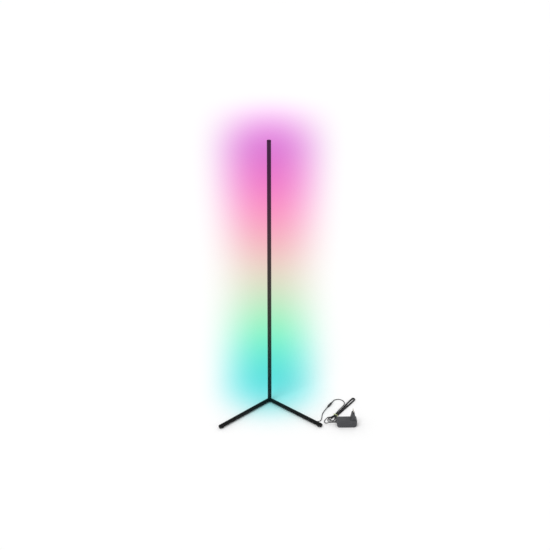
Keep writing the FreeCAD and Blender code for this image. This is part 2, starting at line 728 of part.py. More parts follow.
def make_hank():
    """The tied hank and the tie round its waist."""
    path = hank_path()
    thick = size("cord_diameter")
    shaped("cord_hank", sweep(path, thick, "cord_hank"))
    print(f"cord_hank least gap to itself {least_gap(path, thick):.2f} mm")
    room = "tie_clearance"
    half = f"(1.5 * strand_pitch + cord_diameter / 2 + {room})"
    top = f"(cord_diameter + layer_pitch + tie_thickness + 1.5 * {room})"
    tie = new_body("cable_tie", turn="hank_angle", x="hank_x", y="hank_y")
    outline = new_sketch(tie, "YZ_Plane")
    rectangle(
        outline, (f"0 - {half} - tie_thickness", "0"),
        (f"{half} + tie_thickness", f"{top} + tie_thickness"))
    pad(tie, outline, "tie_width", both=True)
    hole = new_sketch(tie, "YZ_Plane")
    rectangle(hole, (f"0 - {half}", "tie_thickness"), (half, top))
    pocket(tie, hole, "2 * tie_width", both=True)

    def is_outer_corner(edge):
        box = edge.BoundBox
        at_end = box.ZMin < 0.01 or box.ZMax > size(top) + 0.01
        return at_end and box.XLength > size("tie_width") * 0.9

    round_edges(tie, "tie_thickness", is_outer_corner)


# A cord's straight way out of a fitting or a bundle.
STRAIGHT = 14
# Routes: the last number of each point is the height of the cord's underside over the floor.
# Behind the right leg: distance along the leg, distance behind its axis.
LEAD_TRACK = (
    (22, 15, 0), (60, 18, 0), (108, 20.5, 0), (160, 18.5, 0), (212, 21, 0), (262, 20, 0), (298, 24, 0),
)
# from the leg's end to the coupling, across the floor
LEAD_END = (
    (238, -202, 0), (251, -197.5, 0), (259, -182, 0), (262, -160, 0), (266, -134, 0), (276.5, -109.5, 2.4),
)
# from the hank round to the coupling
LOOP_ROUTE = (
    (384, -57.5, 5.2), (390, -38, 2.2), (389, -17, 0), (378, 1, 0), (358, 9, 0), (339, 1, 0.8),
)
# from the supply's strain relief down to the floor and round to the hank
TAIL_ROUTE = ((284, -230, 9), (274, -218, 2), (270.5, -203, 0))


def make_cords():
    """The lamp's lead, the coupling, the loop of cord to the hank and the tail to the supply."""
    floor = size("cord_diameter") / 2
    turn = math.radians(size(LEGS["right"]))
    along = Vector(math.cos(turn), math.sin(turn), 0)
    behind = Vector(-along.y, along.x, 0)
    outlet = vector(("0", "outlet_reach", "outlet_height - outlet_drop"))
    height = outlet.z - floor
    bend = outlet - Vector(0, 0, height * 0.55)
    landing = bend + (along - Vector(0, 0, 1)) * (height * 0.45)
    lead = [outlet, bend, landing]
    lead += [along * s + behind * q + Vector(0, 0, floor + z) for s, q, z in LEAD_TRACK]
    lead += [Vector(x, y, floor + z) for x, y, z in LEAD_END]
    coupling_turn = math.radians(size("coupling_angle"))
    axis = Vector(math.cos(coupling_turn), math.sin(coupling_turn), 0)
    socket_start = vector(("coupling_x", "coupling_y", "coupling_diameter / 2"))
    lead += [socket_start - axis * STRAIGHT, socket_start]
    cord_tube("lamp_lead", lead)

    plug_end = socket_start + axis * size("socket_length + plug_length")
    hank_end = hank_point(size("last_strand"), size("last_across"))
    tie_z = floor + size("layer_pitch + tie_thickness + tie_clearance / 2")
    hank_end.z = tie_z
    ahead = hank_point(1, 0) - hank_point(0, 0)
    loop = [hank_end, hank_end + ahead * STRAIGHT]
    loop += [Vector(x, y, floor + z) for x, y, z in LOOP_ROUTE]
    loop += [plug_end + axis * STRAIGHT, plug_end]
    cord_tube("cord_loop", loop)

    tail_end = hank_point(-size("near_reach + cord_diameter"), hank_loops()[0]["left"], floor)
    relief_end = vector(("supply_x - relief_length", "supply_y + supply_depth / 2", "relief_height"))
    tail = [relief_end, relief_end - Vector(STRAIGHT, 0, 0)]
    tail += [Vector(x, y, floor + z) for x, y, z in TAIL_ROUTE]
    tail += [tail_end - ahead * STRAIGHT, tail_end]
    cord_tube("cord_tail", tail)
    make_coupling(socket_start, axis)


def turned(profile):
    """A solid turned round the X axis from its half outline."""
    outline = Part.makePolygon([Vector(x, y, 0) for x, y in profile + profile[:1]])
    return Part.Face(outline).revolve(Vector(), Vector(1, 0, 0), 360)


def make_coupling(start, axis):
    """The lead's socket and the supply's plug in it, along one line on the floor."""
    across = size("coupling_diameter / 2")
    cord = size("cord_diameter / 2")
    long_socket, long_plug = size("socket_length"), size("plug_length")
    relief, taper = size("coupling_relief"), size("coupling_taper")
    neck, lip = cord + size("coupling_neck"), cord + size("coupling_lip")
    barrel, bore = size("barrel_diameter / 2"), size("barrel_length")
    pin = size("contact_pin / 2")
    there = FreeCAD.Placement(start, FreeCAD.Rotation(Vector(1, 0, 0), axis))
    floor_of_bore = long_socket - bore - 1
    shaped("socket_body", turned((
        (0, 0), (0, lip), (relief, neck), (relief + taper, across), (long_socket, across),
        (long_socket, barrel + 0.05), (floor_of_bore, barrel + 0.05), (floor_of_bore, 0))), there)
    shaped("socket_pin", turned((
        (floor_of_bore, 0), (floor_of_bore, pin), (long_socket - 1.5, pin), (long_socket - 1, 0))), there)
    end = long_socket + long_plug
    shaped("dc_plug_body", turned((
        (long_socket, 0), (long_socket, across - 0.4), (end - relief - taper, across - 0.4),
        (end - relief, neck), (end, lip), (end, 0))), there)
    inside = barrel - size("barrel_wall")
    shaped("dc_plug_barrel", turned((
        (long_socket - bore, barrel), (long_socket - bore, inside), (long_socket, inside),
        (long_socket, barrel))), there)


# Supply

NECK_LEFT = "(supply_width - neck_inset - neck_width)"
NECK_FRONT = "((supply_depth - neck_depth) / 2)"


def make_supply():
    """The plug-in supply, lying on its rounded side with its plug up."""
    wall, split = "supply_wall", "supply_split"
    lower = new_body("supply_lower_shell", x="supply_x", y="supply_y")
    outline = new_sketch(lower, "XZ_Plane", "0 - supply_depth")
    rectangle(outline, ("0", "0"), ("supply_width", split))
    pad(lower, outline, "supply_depth")
    high = size(split)

    def runs_back(edge):
        return edge.BoundBox.YLength > size("supply_depth") * 0.9 and edge.BoundBox.ZMax < 0.01

    def lies_in_side(edge):
        return edge.BoundBox.ZMax < high - 0.01 and edge.BoundBox.YLength < 0.01

    round_edges(lower, "supply_round", runs_back)
    round_edges(lower, "supply_edge", lies_in_side)
    hollow = new_sketch(lower, "XZ_Plane", f"{wall} - supply_depth")
    rectangle(hollow, (wall, wall), (f"supply_width - {wall}", f"{split} + 1"))
    pocket(lower, hollow, f"supply_depth - 2 * {wall}", back=True)
    relief_hole = new_sketch(lower, "YZ_Plane")
    circle(relief_hole, "relief_diameter / 2", x="supply_depth / 2", y="relief_height")
    pocket(lower, relief_hole, f"2 * {wall}", back=True)

    board_low = (
        "supply_x + (supply_width - circuit_length) / 2",
        "supply_y + (supply_depth - circuit_depth) / 2", "circuit_height")
    node(block(board_low, ("circuit_length", "circuit_depth", "circuit_thickness")), "supply_board")
    top = "(circuit_height + circuit_thickness)"
    middle_x, middle_y = "(supply_x + supply_width / 2)", "(supply_y + supply_depth / 2)"
    core_left = f"({middle_x} - core_offset - core_length / 2)"
    core = block(
        (core_left, f"{middle_y} - core_width / 2", top), ("core_length", "core_width", "coil_diameter"))
    coil = rod(
        "coil_diameter / 2", "core_length + 1", x=f"{core_left} - 0.5", y=middle_y,
        z=f"{top} + coil_diameter / 2", along="X")
    node(fuse(core, coil), "transformer")
    capacitors = [rod(
        "capacitor_diameter / 2", "capacitor_height", x=f"{middle_x} + capacitor_offset",
        y=f"{middle_y} - capacitor_side", z=top)]
    for sign in "-+":
        capacitors.append(rod(
            "filter_diameter / 2", "filter_height", x=f"{middle_x} - filter_offset",
            y=f"{middle_y} {sign} capacitor_side", z=top))
    node(group(*capacitors), "capacitors")

    upper = new_body("supply_upper_shell", x="supply_x", y="supply_y")
    outline = new_sketch(upper, "XZ_Plane", "0 - supply_depth")
    rectangle(outline, ("0", split), ("supply_width", "supply_height"))
    pad(upper, outline, "supply_depth")
    round_edges(upper, "supply_edge", lambda edge: edge.BoundBox.ZMax > size(split) + 0.01)
    hollow = new_sketch(upper, "XY_Plane", split)
    rectangle(hollow, (wall, wall), (f"supply_width - {wall}", f"supply_depth - {wall}"))
    pocket(upper, hollow, f"supply_height - {split} - {wall}", back=True)
    window = new_sketch(upper, "XY_Plane", "supply_height")
    rectangle(window, (f"{NECK_LEFT} + 1", f"{NECK_FRONT} + 1"),
              (f"{NECK_LEFT} + neck_width - 1", f"{NECK_FRONT} + neck_depth - 1"))
    pocket(upper, window, f"2 * {wall}")


def bevelled(sketch, left, front, width, depth, bevel):
    """Adds a rectangle with its corners cut off to a sketch."""
    right, back = f"({left} + {width})", f"({front} + {depth})"
    polygon(sketch, (
        (f"{left} + {bevel}", front), (f"{right} - {bevel}", front), (right, f"{front} + {bevel}"),
        (right, f"{back} - {bevel}"), (f"{right} - {bevel}", back), (f"{left} + {bevel}", back),
        (left, f"{back} - {bevel}"), (left, f"{front} + {bevel}")))


def make_neck():
    """The plug's neck: a wedge that narrows from the top of the supply to the plug's face."""
    neck = new_body("plug_neck", x="supply_x", y="supply_y")
    bottom = new_sketch(neck, "XY_Plane", "supply_height")
    bevelled(bottom, NECK_LEFT, NECK_FRONT, "neck_width", "neck_depth", "neck_bevel")
    face = new_sketch(neck, "XY_Plane", "supply_height + neck_height")
    left = f"({NECK_LEFT} + (neck_width - neck_top_width) / 2)"
    front = f"({NECK_FRONT} + (neck_depth - neck_top_depth) / 2)"
    bevelled(face, left, front, "neck_top_width", "neck_top_depth", "neck_bevel")
    loft = neck.newObject("PartDesign::AdditiveLoft", "Wedge")
    loft.Profile = bottom
    loft.Sections = [face]
    loft.Ruled = True
    plug = new_sketch(neck, "XY_Plane", "supply_height")
    rectangle(plug, (f"{NECK_LEFT} + 1", f"{NECK_FRONT} + 1"),
              (f"{NECK_LEFT} + neck_width - 1", f"{NECK_FRONT} + neck_depth - 1"))
    pad(neck, plug, "supply_wall + 1", back=True)
    sleeves = new_sketch(neck, "XY_Plane", "supply_height + neck_height")
    middle_x, middle_y = f"{NECK_LEFT} + neck_width / 2", f"{NECK_FRONT} + neck_depth / 2"
    for sign in "-+":
        circle(sleeves, "pin_sleeve_diameter / 2", x=middle_x, y=f"{middle_y} {sign} pin_spacing / 2")
    pad(neck, sleeves, "pin_sleeve_length")
    bores = new_sketch(neck, "XY_Plane", "supply_height + neck_height + pin_sleeve_length")
    for sign in "-+":
        circle(bores, "pin_sleeve_diameter / 2 - 0.4", x=middle_x, y=f"{middle_y} {sign} pin_spacing / 2")
    pocket(neck, bores, "pin_sleeve_length + pin_root")

    pins = []
    for sign in "-+":
        x = f"supply_x + {middle_x}"
        y = f"supply_y + {middle_y} {sign} pin_spacing / 2"
        shoulder = "supply_height + neck_height + pin_sleeve_length"
        shank = rod("pin_sleeve_diameter / 2 - 0.4", "pin_sleeve_length + pin_root", x=x, y=y,
                    z=f"{shoulder} - pin_sleeve_length - pin_root")
        straight = "(pin_length - pin_sleeve_length - pin_diameter / 2)"
        metal = rod("pin_diameter / 2", straight, x=x, y=y, z=shoulder)
        tip = doc.addObject("Part::Sphere", "Tip")
        bind(tip, "Radius", full("pin_diameter / 2"))
        for axis, expression in zip("xyz", (x, y, f"{shoulder} + {straight}")):
            bind(tip, "Placement.Base." + axis, full(expression))
        pins.append(fuse(shank, metal, tip))
    node(group(*pins), "plug_pins")


def make_relief():
    """The supply's strain relief: a taper with grooves and a flange behind the shells' wall."""
    x, y, z = "supply_x", "(supply_y + supply_depth / 2)", "relief_height"
    centre = vector((x, y, z))
    wide, narrow = size("relief_diameter / 2"), size("cord_diameter / 2") + 0.9
    length, wall = size("relief_length"), size("supply_wall")
    profile = ((wall + 2, 0), (wall + 2, wide + 1), (wall, wide + 1), (wall, wide), (0, wide))
    grooves = 4
    for number in range(grooves):
        near = -length * (number + 0.6) / (grooves + 0.6)
        radius = wide + (narrow - wide) * (number + 0.6) / grooves
        profile += (
            (near + 1.6, radius), (near + 1.6, radius - 0.9), (near, radius - 0.9), (near, radius - 0.3))
    profile += ((-length, narrow), (-length, 0))
    shaped("supply_relief", turned(profile), FreeCAD.Placement(centre, FreeCAD.Rotation()))


make_base()
for index, name in enumerate(SECTIONS):
    make_section(name, index)
    make_light(name, index)
for index, name in enumerate(SECTION_JOINTS, start=1):
    make_splice(name, index)
make_splice_screws()
make_links()
make_cap()
make_receiver()
make_outlet()
make_hank()
make_cords()
make_supply()
make_neck()
make_relief()


# Checks and files


def export():
    """Checks every object and every piece, then writes a file for each piece."""
    doc.recompute()
    for thing in doc.Objects:
        if "Invalid" in thing.State or "Error" in thing.State:
            raise RuntimeError(f"{thing.Label} ({thing.Name}) failed: {thing.State}")
    os.makedirs("parts", exist_ok=True)
    for piece in NODES:
        shape = piece.Shape
        if shape.isNull() or not shape.isValid():
            raise RuntimeError(f"{piece.Label} has no valid shape")
        shape.exportStep(f"parts/{piece.Label}.step")
    print(len(NODES), "pieces")


export()
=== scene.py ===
import logging
import math
from dataclasses import dataclass, field
from enum import Enum
from typing import Any, Iterable, Sequence

import bmesh
import bpy
from mathutils import Matrix, Vector


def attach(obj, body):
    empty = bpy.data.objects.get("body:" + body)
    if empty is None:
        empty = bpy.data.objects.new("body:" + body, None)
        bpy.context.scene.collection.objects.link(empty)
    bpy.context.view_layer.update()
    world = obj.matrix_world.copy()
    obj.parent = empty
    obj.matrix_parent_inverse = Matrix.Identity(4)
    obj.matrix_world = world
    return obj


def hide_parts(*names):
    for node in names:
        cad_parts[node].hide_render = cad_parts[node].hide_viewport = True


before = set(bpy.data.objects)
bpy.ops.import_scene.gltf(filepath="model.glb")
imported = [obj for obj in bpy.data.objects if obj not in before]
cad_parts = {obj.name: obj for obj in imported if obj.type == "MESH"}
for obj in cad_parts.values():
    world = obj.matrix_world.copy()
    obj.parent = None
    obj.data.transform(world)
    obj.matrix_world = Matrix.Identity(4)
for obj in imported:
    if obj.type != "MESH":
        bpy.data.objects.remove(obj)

log = logging.getLogger("corner_lamp")

MM = 0.001
BODY = "root"
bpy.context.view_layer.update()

# Sizes that more than one piece shares, in millimetres.
LAMP_HEIGHT = 1400.0
CAP_HEIGHT = 6.0
TUBE_RADIUS = 10.0
CORD = 4.0
# A cord's straight way out of a fitting or a bundle.
STRAIGHT = 14
# Edges sharper than this stay crisp.
CREASE = math.radians(35)

Material, Tree, Node = bpy.types.Material, bpy.types.NodeTree, bpy.types.Node
Socket, Thing, Edge = bpy.types.NodeSocket, bpy.types.Object, bmesh.types.BMEdge
Outline = list[tuple[float, float]]
Points = list[Vector]


class Slot(Enum):
    """The record's material slots, which each piece made here names."""

    CORD = "cord_sheath"
    COUPLING = "coupling_plastic"
    RELIEF = "relief_rubber"
    TIE = "tie_plastic"
    SUPPLY = "supply_plastic"
    CONTACT = "nickel_contact"
    CAP = "black_plastic"
    SCREW = "black_screws"


class Way(Enum):
    """Which way a turn or a face looks along its own line."""

    AHEAD = 1
    BACK = -1


def linear(hex_code: str) -> tuple[float, float, float, float]:
    """Turns an sRGB colour into the linear values that a shader reads.

    Args:
        hex_code: six hexadecimal digits, red, green and blue.

    Returns:
        Linear red, green, blue and an alpha of one.
    """
    channels = [int(hex_code[i:i + 2], 16) / 255 for i in (0, 2, 4)]
    values = [c / 12.92 if c <= 0.04045 else ((c + 0.055) / 1.055) ** 2.4 for c in channels]
    return (values[0], values[1], values[2], 1.0)


def add_node(
    tree: Tree,
    kind: str,
    settings: dict[str, Any] | None = None,
    inputs: dict[str | int, Any] | None = None,
) -> Node:
    """Adds a shader node with its settings, values and links.

    Args:
        tree: the node tree it goes into.
        kind: the node's type name without its "ShaderNode" lead.
        settings: properties of the node.
        inputs: a value, or a socket to link from, for each named or numbered input.

    Returns:
        The new node.
    """
    node = tree.nodes.new("ShaderNode" + kind)
    for name, value in (settings or {}).items():
        setattr(node, name, value)
    for name, value in (inputs or {}).items():
        if isinstance(value, Socket):
            tree.links.new(value, node.inputs[name])
        else:
            node.inputs[name].default_value = value
    return node


def set_ramp(node: Node, stops: Sequence[tuple[float, Sequence[float]]]) -> None:
    """Sets a colour ramp's stops.

    Args:
        node: the ramp.
        stops: a position from 0 to 1 and a linear colour for each stop, in order.
    """
    elements = node.color_ramp.elements
    while len(elements) < len(stops):
        elements.new(1.0)
    for element, (position, colour) in zip(elements, stops):
        element.position = position
        element.color = colour


def new_material(name: str) -> tuple[Material, Tree, Node]:
    """Starts a material with an empty tree.

    Args:
        name: the finish's name.

    Returns:
        The material, its node tree and the output node.
    """
    material = bpy.data.materials.new(name)
    material.use_nodes = True
    material.node_tree.nodes.clear()
    return material, material.node_tree, add_node(material.node_tree, "OutputMaterial")


def show(name: str, data: bpy.types.ID) -> Thing:
    """Puts new data into the scene.

    Args:
        name: the object's name.
        data: its mesh, curve, lamp or camera.

    Returns:
        The object, at the origin.
    """
    thing = bpy.data.objects.new(name, data)
    bpy.context.scene.collection.objects.link(thing)
    return thing


def show_mesh(name: str, shape: bmesh.types.BMesh, material: Material) -> Thing:
    """Turns a finished mesh into an object of the scene.

    Args:
        name: the object's name.
        shape: its mesh, which is used up.
        material: its material.

    Returns:
        The object.
    """
    data = bpy.data.meshes.new(name)
    shape.to_mesh(data)
    shape.free()
    data.materials.append(material)
    return show(name, data)


@dataclass(frozen=True)
class Surface:
    """How a surface was left: its fine relief, and how colour and gloss wander over it."""

    grain_mm: float = 0.5  # distance between the bumps of the relief
    depth_mm: float = 0.01  # height of the relief
    cloud_mm: float = 25.0  # size of the patches in which colour and gloss wander
    colour_swing: float = 0.08  # share by which the colour gets lighter and darker
    gloss_swing: float = 0.04  # how far the roughness goes up and down

    def dress(self, tree: Tree, colour: str, roughness: float, sockets: dict[str, Any]) -> Node:
        """Builds the shader with this relief and wander.

        Args:
            tree: the material's node tree.
            colour: the base colour as sRGB digits.
            roughness: the mean roughness.
            sockets: the shader's further inputs.

        Returns:
            The Principled shader.
        """
        place = {"Vector": add_node(tree, "TexCoord").outputs["Object"], "Roughness": 0.5}
        patches = {"Scale": 1 / (self.cloud_mm * MM), "Detail": 3.0}
        cloud = add_node(tree, "TexNoise", inputs=place | patches).outputs["Fac"]
        bumps = {"Scale": 1 / (self.grain_mm * MM), "Detail": 2.0}
        grain = add_node(tree, "TexNoise", inputs=place | bumps).outputs["Fac"]
        base = linear(colour)[:3]
        dark = [c * (1 - self.colour_swing) for c in base] + [1.0]
        light = [min(1.0, c * (1 + self.colour_swing)) for c in base] + [1.0]
        ramp = add_node(tree, "ValToRGB", inputs={"Fac": cloud})
        # Most of a noise pattern lies between these two values.
        low, high = 0.3, 0.7
        set_ramp(ramp, ((low, dark), (high, light)))
        span = {"Value": cloud, "From Min": low, "From Max": high}
        span |= {"To Min": roughness + self.gloss_swing, "To Max": roughness - self.gloss_swing}
        gloss = add_node(tree, "MapRange", inputs=span)
        bump = add_node(tree, "Bump", inputs={"Height": grain, "Distance": self.depth_mm * MM})
        inputs = {"Base Color": ramp.outputs["Color"], "Roughness": gloss.outputs["Result"]}
        return add_node(tree, "BsdfPrincipled", inputs=inputs | {"Normal": bump.outputs["Normal"]} | sockets)


class Stuff(Enum):
    """What a finish is made of, as the shader's own values for it."""

    PLASTIC = {"IOR": 1.5}
    # The fine relief of baked paint or grained nylon swallows part of a smooth film's gloss.
    SATIN_COAT = {"IOR": 1.5, "Specular IOR Level": 0.3}
    DULL_COAT = {"IOR": 1.5, "Specular IOR Level": 0.16}
    METAL = {"Metallic": 1.0}
    # Thin nylon and film let light into themselves, so they look soft and a little lit from inside.
    CLEAR = {"IOR": 1.53, "Subsurface Weight": 0.35, "Subsurface Scale": 0.002}
    MILKY = {"IOR": 1.49}
    MATT = {"Specular IOR Level": 0.2}


@dataclass(frozen=True)
class Finish:
    """A material named for what it is and how it was made."""

    name: str
    colour: str  # its colour as sRGB digits
    roughness: float
    surface: Surface = Surface()
    stuff: Stuff = Stuff.PLASTIC

    def shader(self, tree: Tree) -> Node:
        """The shader of a surface that is the same all over but for its wander."""
        return self.surface.dress(tree, self.colour, self.roughness, self.stuff.value)

    def make(self) -> Material:
        """Builds the material, or finds it if it was built before.

        Returns:
            The material.
        """
        found = bpy.data.materials.get(self.name)
        if found:
            return found
        material, tree, output = new_material(self.name)
        tree.links.new(self.shader(tree).outputs[0], output.inputs["Surface"])
        return material


@dataclass(frozen=True)
class TrackedBoard(Finish):
    """Glass-fibre board under lacquer: straight copper tracks show as lighter, raised lines."""

    track_mm: float = 2.4  # distance between tracks
    track_colour: str = "4F9A62"  # the lacquer's colour over copper, as sRGB digits
    relief_mm: float = 0.04  # height of the tracks

    def shader(self, tree: Tree) -> Node:
        """Lacquer with tracks in brick-like runs.

        Args:
            tree: the material's node tree.

        Returns:
            The Principled shader.
        """
        runs = {"Vector": add_node(tree, "TexCoord").outputs["Object"], "Scale": 1 / (self.track_mm * 4 * MM)}
        runs |= {"Color1": linear(self.colour), "Color2": linear(self.colour)}
        runs |= {"Mortar": linear(self.track_colour), "Mortar Size": 0.03, "Mortar Smooth": 0.2}
        bricks = add_node(tree, "TexBrick", inputs=runs).outputs
        bump = add_node(tree, "Bump", inputs={"Height": bricks["Fac"], "Distance": self.relief_mm * MM})
        inputs = {"Base Color": bricks["Color"], "Roughness": self.roughness, "IOR": 1.5}
        return add_node(tree, "BsdfPrincipled", inputs=inputs | {"Normal": bump.outputs["Normal"]})


@dataclass(frozen=True)
class Glow:
    """The run of colours that the strip sends out, from the pole's foot to its top."""

    # a height in metres and an sRGB colour for each point of the run
    stops: tuple[tuple[float, str], ...] = (
        (0.10, "18EEF0"), (0.22, "20F0EA"), (0.33, "80F6E4"), (0.44, "B4F8DA"), (0.60, "E0F0DA"),
        (0.75, "F0E6DA"), (0.90, "F6CCD4"), (1.07, "F8A4D6"), (1.22, "F078DA"), (1.36, "E470E0"),
    )

    def ramp(self, tree: Tree, height: Socket) -> Socket:
        """Colours a surface or a haze by its height.

        Args:
            tree: the material's node tree.
            height: each point's height in metres.

        Returns:
            The colour at each height.
        """
        top = LAMP_HEIGHT * MM
        share = add_node(tree, "Math", {"operation": "DIVIDE"}, {0: height, 1: top})
        ramp = add_node(tree, "ValToRGB", inputs={"Fac": share.outputs[0]})
        set_ramp(ramp, [(z / top, linear(colour)) for z, colour in self.stops])
        return ramp.outputs["Color"]


@dataclass(frozen=True)
class Lit(Finish):
    """Plastic that gives off the strip's colour, with a faint brighter spot at each diode."""

    strength: float = 1.0
    dip: float = 1.0  # share of that which is left between two diodes
    pitch_mm: float = 16.6  # distance between diodes

    def shader(self, tree: Tree) -> Node:
        """Adds the light to the plain shader.

        Args:
            tree: the material's node tree.

        Returns:
            The Principled shader.
        """
        place = add_node(tree, "TexCoord").outputs["Object"]
        height = add_node(tree, "SeparateXYZ", inputs={"Vector": place}).outputs["Z"]
        turns = {0: height, 1: 2 * math.pi / (self.pitch_mm * MM)}
        phase = add_node(tree, "Math", {"operation": "MULTIPLY"}, turns).outputs[0]
        wave = add_node(tree, "Math", {"operation": "SINE"}, {0: phase}).outputs[0]
        limits = {"From Min": -1.0, "To Min": self.strength * self.dip, "To Max": self.strength}
        level = add_node(tree, "MapRange", inputs={"Value": wave} | limits).outputs["Result"]
        lit = {"Emission Color": Glow().ramp(tree, height), "Emission Strength": level}
        return self.surface.dress(tree, self.colour, self.roughness, self.stuff.value | lit)


# Baked paint on an extrusion: a soft grey line along the pole, broken up by orange peel.
POLE_PAINT = Finish("satin_black_powder_coat_on_aluminium", "0C0B0E", 0.38,
    Surface(1.1, 0.012, 60, 0.1, 0.05), Stuff.SATIN_COAT)
# The same paint on thin steel tube, thicker and duller: the legs stay near black.
LEG_PAINT = Finish("satin_black_powder_coat_on_steel", "060607", 0.42,
    Surface(1.3, 0.014, 45, 0.1, 0.05), Stuff.DULL_COAT)
# Spark-grained moulding: a matt end with no clear reflection beside the satin tube.
CAP_PLASTIC = Finish("moulded_black_nylon_fine_spark_grain", "0A0A0B", 0.5,
    Surface(0.35, 0.02, 18), Stuff.DULL_COAT)
# Pressed rubber: dull, slightly dusty and patchy.
FOOT_RUBBER = Finish("pressed_black_rubber_matt", "1A1A1A", 0.8, Surface(0.6, 0.03, 8, 0.15, 0.05))
# Mill scale: a cloudy brown-grey skin with dull and shiny patches.
BALLAST = Finish("hot_rolled_steel_bar_mill_scale", "5A5654", 0.55,
    Surface(2.0, 0.04, 12, 0.2, 0.1), Stuff.METAL)
# Black oxide: a dark metal whose edges still glint.
SCREW = Finish("black_oxide_screw_steel", "2C2C30", 0.4, Surface(0.4, 0.01, 4, 0.1, 0.08), Stuff.METAL)
# Extruded and left bare: pale, silky aluminium.
SPLICE = Finish("extruded_mill_finish_aluminium", "C4C6C8", 0.38,
    Surface(0.8, 0.01, 20, 0.06, 0.08), Stuff.METAL)
# Lacquered film: a clean white band with a soft shine.
FLEX = Finish("white_lacquered_flexible_circuit", "E8E8E4", 0.4, Surface(0.5, 0.01, 9, 0.04, 0.04))
# A moulded package round a phosphor well: small lit squares.
DIODE = Lit("white_diode_package_lit_phosphor", "EDEDE6", 0.35, Surface(0.3, 0.005, 3, 0.03, 0.03))
# Milky extrusion lit from behind: the colour run, even but for the diodes' faint beat.
MILKY = Lit("extruded_milky_diffuser_lit", "77777B", 0.42,
    Surface(0.7, 0.01, 30, 0.02, 0.04), Stuff.MILKY, 0.9, 0.86)
# Moulded nylon: off-white and satin.
LINK = Finish("moulded_white_connector_nylon", "DCDCD6", 0.48, Surface(0.3, 0.015, 6, 0.04, 0.04))
# Lacquer over copper: green with lighter, raised lines.
BOARD = TrackedBoard("green_lacquered_glass_fibre_board", "1E5A36", 0.32)
# Moulded epoxy: small dark blocks with a dull grain.
CHIP = Finish("moulded_black_epoxy_component", "18181A", 0.55, Surface(0.2, 0.015, 3, 0.1, 0.05))
# Shrunk film: dark blue and shiny, with slight ripples.
SLEEVE = Finish("heat_shrunk_film_on_capacitor", "23264A", 0.3, Surface(1.5, 0.01, 7, 0.06, 0.06))
# Wound tape: yellow, glossy and a little see-through.
TAPE = Finish("yellow_polyester_tape_on_winding", "D9B23C", 0.3,
    Surface(0.9, 0.02, 9, 0.08, 0.08), Stuff.CLEAR)
# Drawn insulation: smooth, bright red.
WIRE = Finish("drawn_wire_insulation_pvc", "B02A26", 0.4, Surface(0.5, 0.008, 6, 0.05, 0.05))
# Overmoulded soft plastic: ribs that look flexible because they hardly shine.
RELIEF_RUBBER = Finish("overmoulded_black_soft_pvc", "161618", 0.55, Surface(0.4, 0.02, 6, 0.1, 0.06))
# Extruded sheath: a black cord with one soft, slightly uneven highlight along it.
SHEATH = Finish("extruded_black_pvc_cord_sheath", "0E0E10", 0.42, Surface(0.9, 0.015, 14, 0.1, 0.06))
# Moulded ABS: satin black, a little lighter than the cord.
COUPLING = Finish("moulded_black_abs_coupling", "1C1C1F", 0.45, Surface(0.35, 0.015, 9, 0.08, 0.05))
# Plated brass: warm, bright and nearly mirror-like.
NICKEL = Finish("nickel_plated_brass_contact", "CBC6BA", 0.22,
    Surface(0.6, 0.004, 5, 0.04, 0.06), Stuff.METAL)
# Moulded nylon, thin: pale green with a soft glow at its edges.
TIE = Finish("moulded_pale_green_nylon_tie", "C9D2A0", 0.4, Surface(0.6, 0.02, 4, 0.06, 0.05), Stuff.CLEAR)
# Spark-grained case: dark grey, matt, with a broad dull sheen on its rounded edges.
CASE = Finish("moulded_dark_grey_polycarbonate_case", "3C3D40", 0.5, Surface(0.45, 0.03, 22, 0.07, 0.05))
# Matt paper: plain white with hardly any reflection of the lamp.
FLOOR = Finish("white_studio_floor", "FFFFFF", 0.87, Surface(1.0, 0.0, 400, 0.0, 0.03), Stuff.MATT)


def each_length(kind: str) -> tuple[str, ...]:
    """The nodes of a piece that each of the pole's three lengths has."""
    return tuple(f"{length}_{kind}" for length in ("lower", "middle", "upper"))


NODE_FINISHES: dict[Finish, tuple[str, ...]] = {
    LEG_PAINT: ("corner_joint", "left_leg", "right_leg"),
    POLE_PAINT: each_length("section"),
    CAP_PLASTIC: ("left_end_cap", "right_end_cap", "top_cap", "lead_outlet", "cable_cover"),
    FOOT_RUBBER: ("corner_foot", "left_foot", "right_foot"),
    BALLAST: ("left_leg_ballast", "right_leg_ballast"),
    SCREW: ("leg_screws", "pole_screw", "splice_screws"),
    SPLICE: ("lower_splice", "upper_splice"),
    FLEX: (*each_length("led_strip"), "strip_ribbon"),
    DIODE: each_length("led_chips"),
    MILKY: each_length("diffuser"),
    LINK: ("lower_strip_link", "upper_strip_link"),
    BOARD: ("receiver_board", "supply_board"),
    CHIP: ("receiver_parts",),
    SLEEVE: ("capacitors",),
    TAPE: ("transformer",),
    WIRE: ("supply_wires",),
    RELIEF_RUBBER: ("supply_relief",),
    SHEATH: ("lamp_lead", "cord_loop", "cord_hank", "cord_tail"),
    COUPLING: ("socket_body", "dc_plug_body"),
    NICKEL: ("socket_pin", "dc_plug_barrel", "plug_pins"),
    TIE: ("cable_tie",),
    CASE: ("supply_upper_shell", "supply_lower_shell", "plug_neck"),
}


def dress_nodes() -> None:
    """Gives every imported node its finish, and reports any that has none."""
    for finish, names in NODE_FINISHES.items():
        for name in names:
            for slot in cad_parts[name].material_slots:
                slot.material = finish.make()
            log.info("%s: %s", name, finish.name)
    missing = set(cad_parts) - {name for names in NODE_FINISHES.values() for name in names}
    log.info("nodes without a finish: %s", sorted(missing) or "none")


def place_along(at: Vector, direction: Vector) -> Matrix:
    """The place that puts a turned piece's start at a point in millimetres and its X axis along a way."""
    return Matrix.Translation(at * MM) @ direction.to_track_quat("X", "Z").to_matrix().to_4x4()


